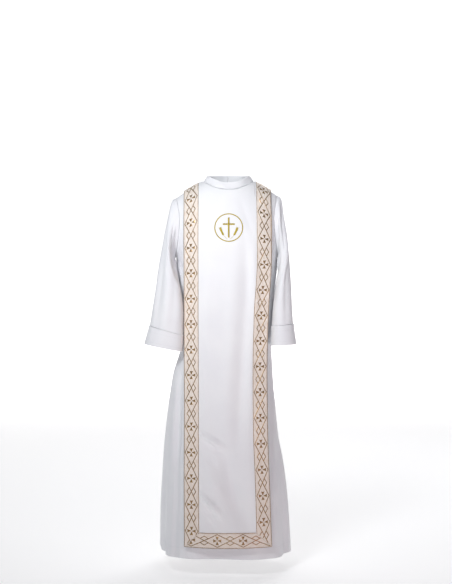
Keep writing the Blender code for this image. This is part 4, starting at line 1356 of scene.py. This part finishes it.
def make_cross(thread):
    half = CROSS_LINE / 2
    heights = np.linspace(-CROSS_FOOT, CROSS_TOP, CROSS_PLACES)
    rows = [np.column_stack([np.full(CROSS_PLACES, x), heights])
            for x in (half - PADDING_INSET, 0.0, -half + PADDING_INSET)]
    under = padding("emblem_cross_padding", rows, False)

    z = np.arange(-CROSS_FOOT, CROSS_TOP + 1e-6, SATIN_STEP)
    places = [(0.0, v) for v in z]
    ways = [(1.0, CROSS_SLANT)] * len(z)
    for side in (-1, 1):
        x = np.arange(half, CROSS_ARM + 1e-6, SATIN_STEP)
        places += [(side * v, CROSS_ARM_Z) for v in x]
        ways += [(CROSS_SLANT * side, 1.0)] * len(x)
    return under, laid_forms("emblem_cross_satin", thread, places, ways,
                             [CROSS_STITCH] * len(places), PADDING_LIFT)


def along_line(line, reach, distance):
    """Place and unit way on a flat line at a distance from its start."""
    place = np.array([np.interp(distance, reach, line[:, i]) for i in (0, 1)])
    ahead = np.array([np.interp(distance + 3e-4, reach, line[:, i]) for i in (0, 1)])
    behind = np.array([np.interp(distance - 3e-4, reach, line[:, i]) for i in (0, 1)])
    way = ahead - behind
    return place, way / np.linalg.norm(way)


def make_wheat(thread):
    """Two ears of wheat: stitched stalks, and grains that lean out to both sides."""
    grains, threads = [], []
    for side in (-1, 1):
        knots = WHEAT_KNOTS * (side, 1)
        f = np.linspace(0.0, 1.0, 41)[:, None]
        line = (1 - f) ** 2 * knots[0] + 2 * f * (1 - f) * knots[1] + f ** 2 * knots[2]
        reach = np.concatenate([[0], np.cumsum(np.linalg.norm(np.diff(line, axis=0), axis=1))])
        for distance in np.arange(STALK_FIRST, reach[-1] - STALK_END, STALK_STEP):
            threads.append((*along_line(line, reach, distance), STALK_STITCH))
        for k in range(WHEAT_GRAINS):
            place, way = along_line(line, reach, reach[-1] - GRAIN_FIRST - GRAIN_STEP * k)
            for lean in (-1, 1):
                turn = lean * GRAIN_LEAN
                grain_way = np.array([way[0] * math.cos(turn) - way[1] * math.sin(turn),
                                      way[0] * math.sin(turn) + way[1] * math.cos(turn)])
                grains.append((place + grain_way * GRAIN_OUT, grain_way, GRAIN_SIZE))
                if k < AWN_GRAINS:
                    threads.append((place + grain_way * AWN_OUT, grain_way, AWN_SIZE))
        place, way = along_line(line, reach, reach[-1])
        grains.append((place + way * TIP_OUT, way, TIP_SIZE))
    return (laid_forms("emblem_wheat_grains", thread, *zip(*grains)),
            laid_forms("emblem_wheat_stalks", thread, *zip(*threads)))


def make_emblem():
    thread = thread_form()
    return make_ring(thread), (*make_cross(thread), *make_wheat(thread))


def edge_lines(grid, sign, columns=(), rows=(), closed=False):
    """Lines on a grid at fractional columns or rows, with the ways out of the cloth."""
    out = sign * grid_normals(grid, closed)
    lines = []
    for place in columns:
        i = int(place)
        f = place - i
        lines.append((grid[:, i] * (1 - f) + grid[:, i + 1] * f, out[:, i]))
    for place in rows:
        i = int(place)
        f = place - i
        line, ways = grid[i] * (1 - f) + grid[i + 1] * f, out[i]
        if closed:
            line, ways = np.vstack([line, line[:1]]), np.vstack([ways, ways[:1]])
        lines.append((line, ways))
    return lines


def row_at(grid, z):
    return float(np.interp(z, grid[:, grid.shape[1] // 2, 2], np.arange(len(grid))))


def stitched(name, lines, stitch, look, slot, tree, keys):
    values = {"Stitch": stitch, "Step": STITCH_STEP, "Material": look}
    return grown(name, seam_mesh(name, lines), tree, keys, values, slot)


def stage_look(name, colour, glow):
    look = bpy.data.materials.new(name)
    look.use_nodes = True
    shader = look.node_tree.nodes["Principled BSDF"]
    shader.inputs["Base Color"].default_value = (*colour, 1.0)
    shader.inputs["Roughness"].default_value = 0.9
    shader.inputs["Emission Color"].default_value = (1.0, 1.0, 1.0, 1.0)
    shader.inputs["Emission Strength"].default_value = glow
    return look


def make_stage():
    """A pale floor that runs up into a bright backdrop far behind the robe."""
    bend = [(BACKDROP_Y - FLOOR_BEND * math.cos(a), FLOOR_Z + FLOOR_BEND * (1 - math.sin(a)))
            for a in np.linspace(math.pi / 2, 0.0, 9)]
    section = [(-STAGE_HALF, FLOOR_Z)] + bend + [(BACKDROP_Y, BACKDROP_TOP)]
    for name, part, glow in (("floor", section[:2], FLOOR_GLOW),
                             ("backdrop", section[1:], BACKDROP_GLOW)):
        points = [(x, y, z) for y, z in part for x in (-STAGE_HALF, STAGE_HALF)]
        faces = [(2 * i, 2 * i + 1, 2 * i + 3, 2 * i + 2) for i in range(len(part) - 1)]
        mesh = bpy.data.meshes.new(name)
        mesh.from_pydata(points, [], faces)
        mesh.materials.append(stage_look("pale_" + name, STAGE_COLOUR, glow))
        for polygon in mesh.polygons:
            polygon.use_smooth = True
        made = bpy.data.objects.new(name, mesh)
        bpy.context.scene.collection.objects.link(made)


def make_light(name, place, target, size, power, colour, spread):
    light = bpy.data.lights.new(name, "AREA")
    light.size = size
    light.spread = spread
    light.energy = power
    light.color = colour
    lamp = bpy.data.objects.new(name, light)
    lamp.location = place
    lamp.rotation_euler = (Vector(target) - Vector(place)).to_track_quat("-Z", "Y").to_euler()
    bpy.context.scene.collection.objects.link(lamp)


def make_camera():
    camera = bpy.data.cameras.new("camera")
    camera.sensor_width = SENSOR_MM
    camera.lens = FOCAL_PX / FRAME_HEIGHT_PX * SENSOR_MM
    view = bpy.data.objects.new("camera", camera)
    view.location = CAMERA_PLACE
    view.rotation_euler = (math.pi / 2, 0.0, 0.0)
    bpy.context.scene.collection.objects.link(view)
    bpy.context.scene.camera = view


make_camera()
make_stage()
world = bpy.data.worlds.new("studio")
world.use_nodes = True
world.node_tree.nodes["Background"].inputs["Color"].default_value = WORLD_COLOUR
world.node_tree.nodes["Background"].inputs["Strength"].default_value = WORLD_STRENGTH
bpy.context.scene.world = world
bpy.context.scene.view_settings.view_transform = "Standard"
for light in LIGHTS:
    make_light(*light)

pieces, front_grid = make_body()
tubes, cuffs = {}, {}
for side in (-1, 1):
    made, tubes[side], cuffs[side] = make_sleeve(side)
    pieces.update(made)
pieces["collar"], collar_grid = make_collar()
strips = {}
for facing in (-1, 1):
    made, strips[facing] = make_panel(facing)
    pieces.update(made)
ring_parts, cross_parts = make_emblem()

repeats, repeat_keys = ribbon_tree()
side_motif = galloon_motif("side_repeat", PITCH)
hem_motif = galloon_motif("hem_repeat", HEM_PITCH)
extras = {name: [] for name in pieces}
for facing, word in ((-1, "front"), (1, "back")):
    for part, strip in strips[facing].items():
        hem = part == "hem"
        pattern = ribbon_pattern("pattern_" + word + "_" + part, strip,
                                 hem_motif if hem else side_motif,
                                 HEM_PITCH if hem else PITCH,
                                 FIRST_PLACES[part], repeats, repeat_keys)
        extras["galloon_" + word + "_" + part].append(pattern)

stitches, stitch_keys = stitch_tree()
thin_stitch = stitch_mesh("seam_stitch", *STITCH_SIZE)
for facing, word in ((-1, "front"), (1, "back")):
    for part, (top, uv) in strips[facing].items():
        both_edges = (TRIM_STITCH_IN, TRIM_COLUMNS - TRIM_STITCH_IN)
        if part == "hem":
            lines = edge_lines(top, -facing, rows=both_edges)
        else:
            lines = edge_lines(top, -facing, columns=both_edges)
        extras["galloon_" + word + "_" + part].append(
            stitched("stitches_" + word + "_" + part, lines, thin_stitch, LUREX, "galloon",
                     stitches, stitch_keys))
hem_row = row_at(front_grid, HEM_Z + HEM_STITCH_UP)
extras["robe_front"].append(
    stitched("stitches_hem", edge_lines(front_grid, 1, rows=(hem_row,)), thin_stitch,
             WHITE_THREAD, "white_cloth", stitches, stitch_keys))
for side, word in ((-1, "left"), (1, "right")):
    lines = edge_lines(cuffs[side], -side, rows=CUFF_STITCH_ROWS, closed=True)
    extras["cuff_" + word].append(
        stitched("stitches_cuff_" + word, lines, thin_stitch, WHITE_THREAD, "white_cloth",
                 stitches, stitch_keys))
collar_lines = edge_lines(collar_grid, 1, rows=(COLLAR_STITCH_ROW,))
extras["collar"].append(stitched("stitches_collar", collar_lines, thin_stitch, WHITE_THREAD,
                                 "white_cloth", stitches, stitch_keys))
for used in (side_motif, hem_motif, thin_stitch):
    bpy.data.objects.remove(used)

for node, piece in pieces.items():
    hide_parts(node)
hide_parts("emblem_ring")
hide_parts("emblem_cross")
extras["scapular_front"] += [*ring_parts, *cross_parts]
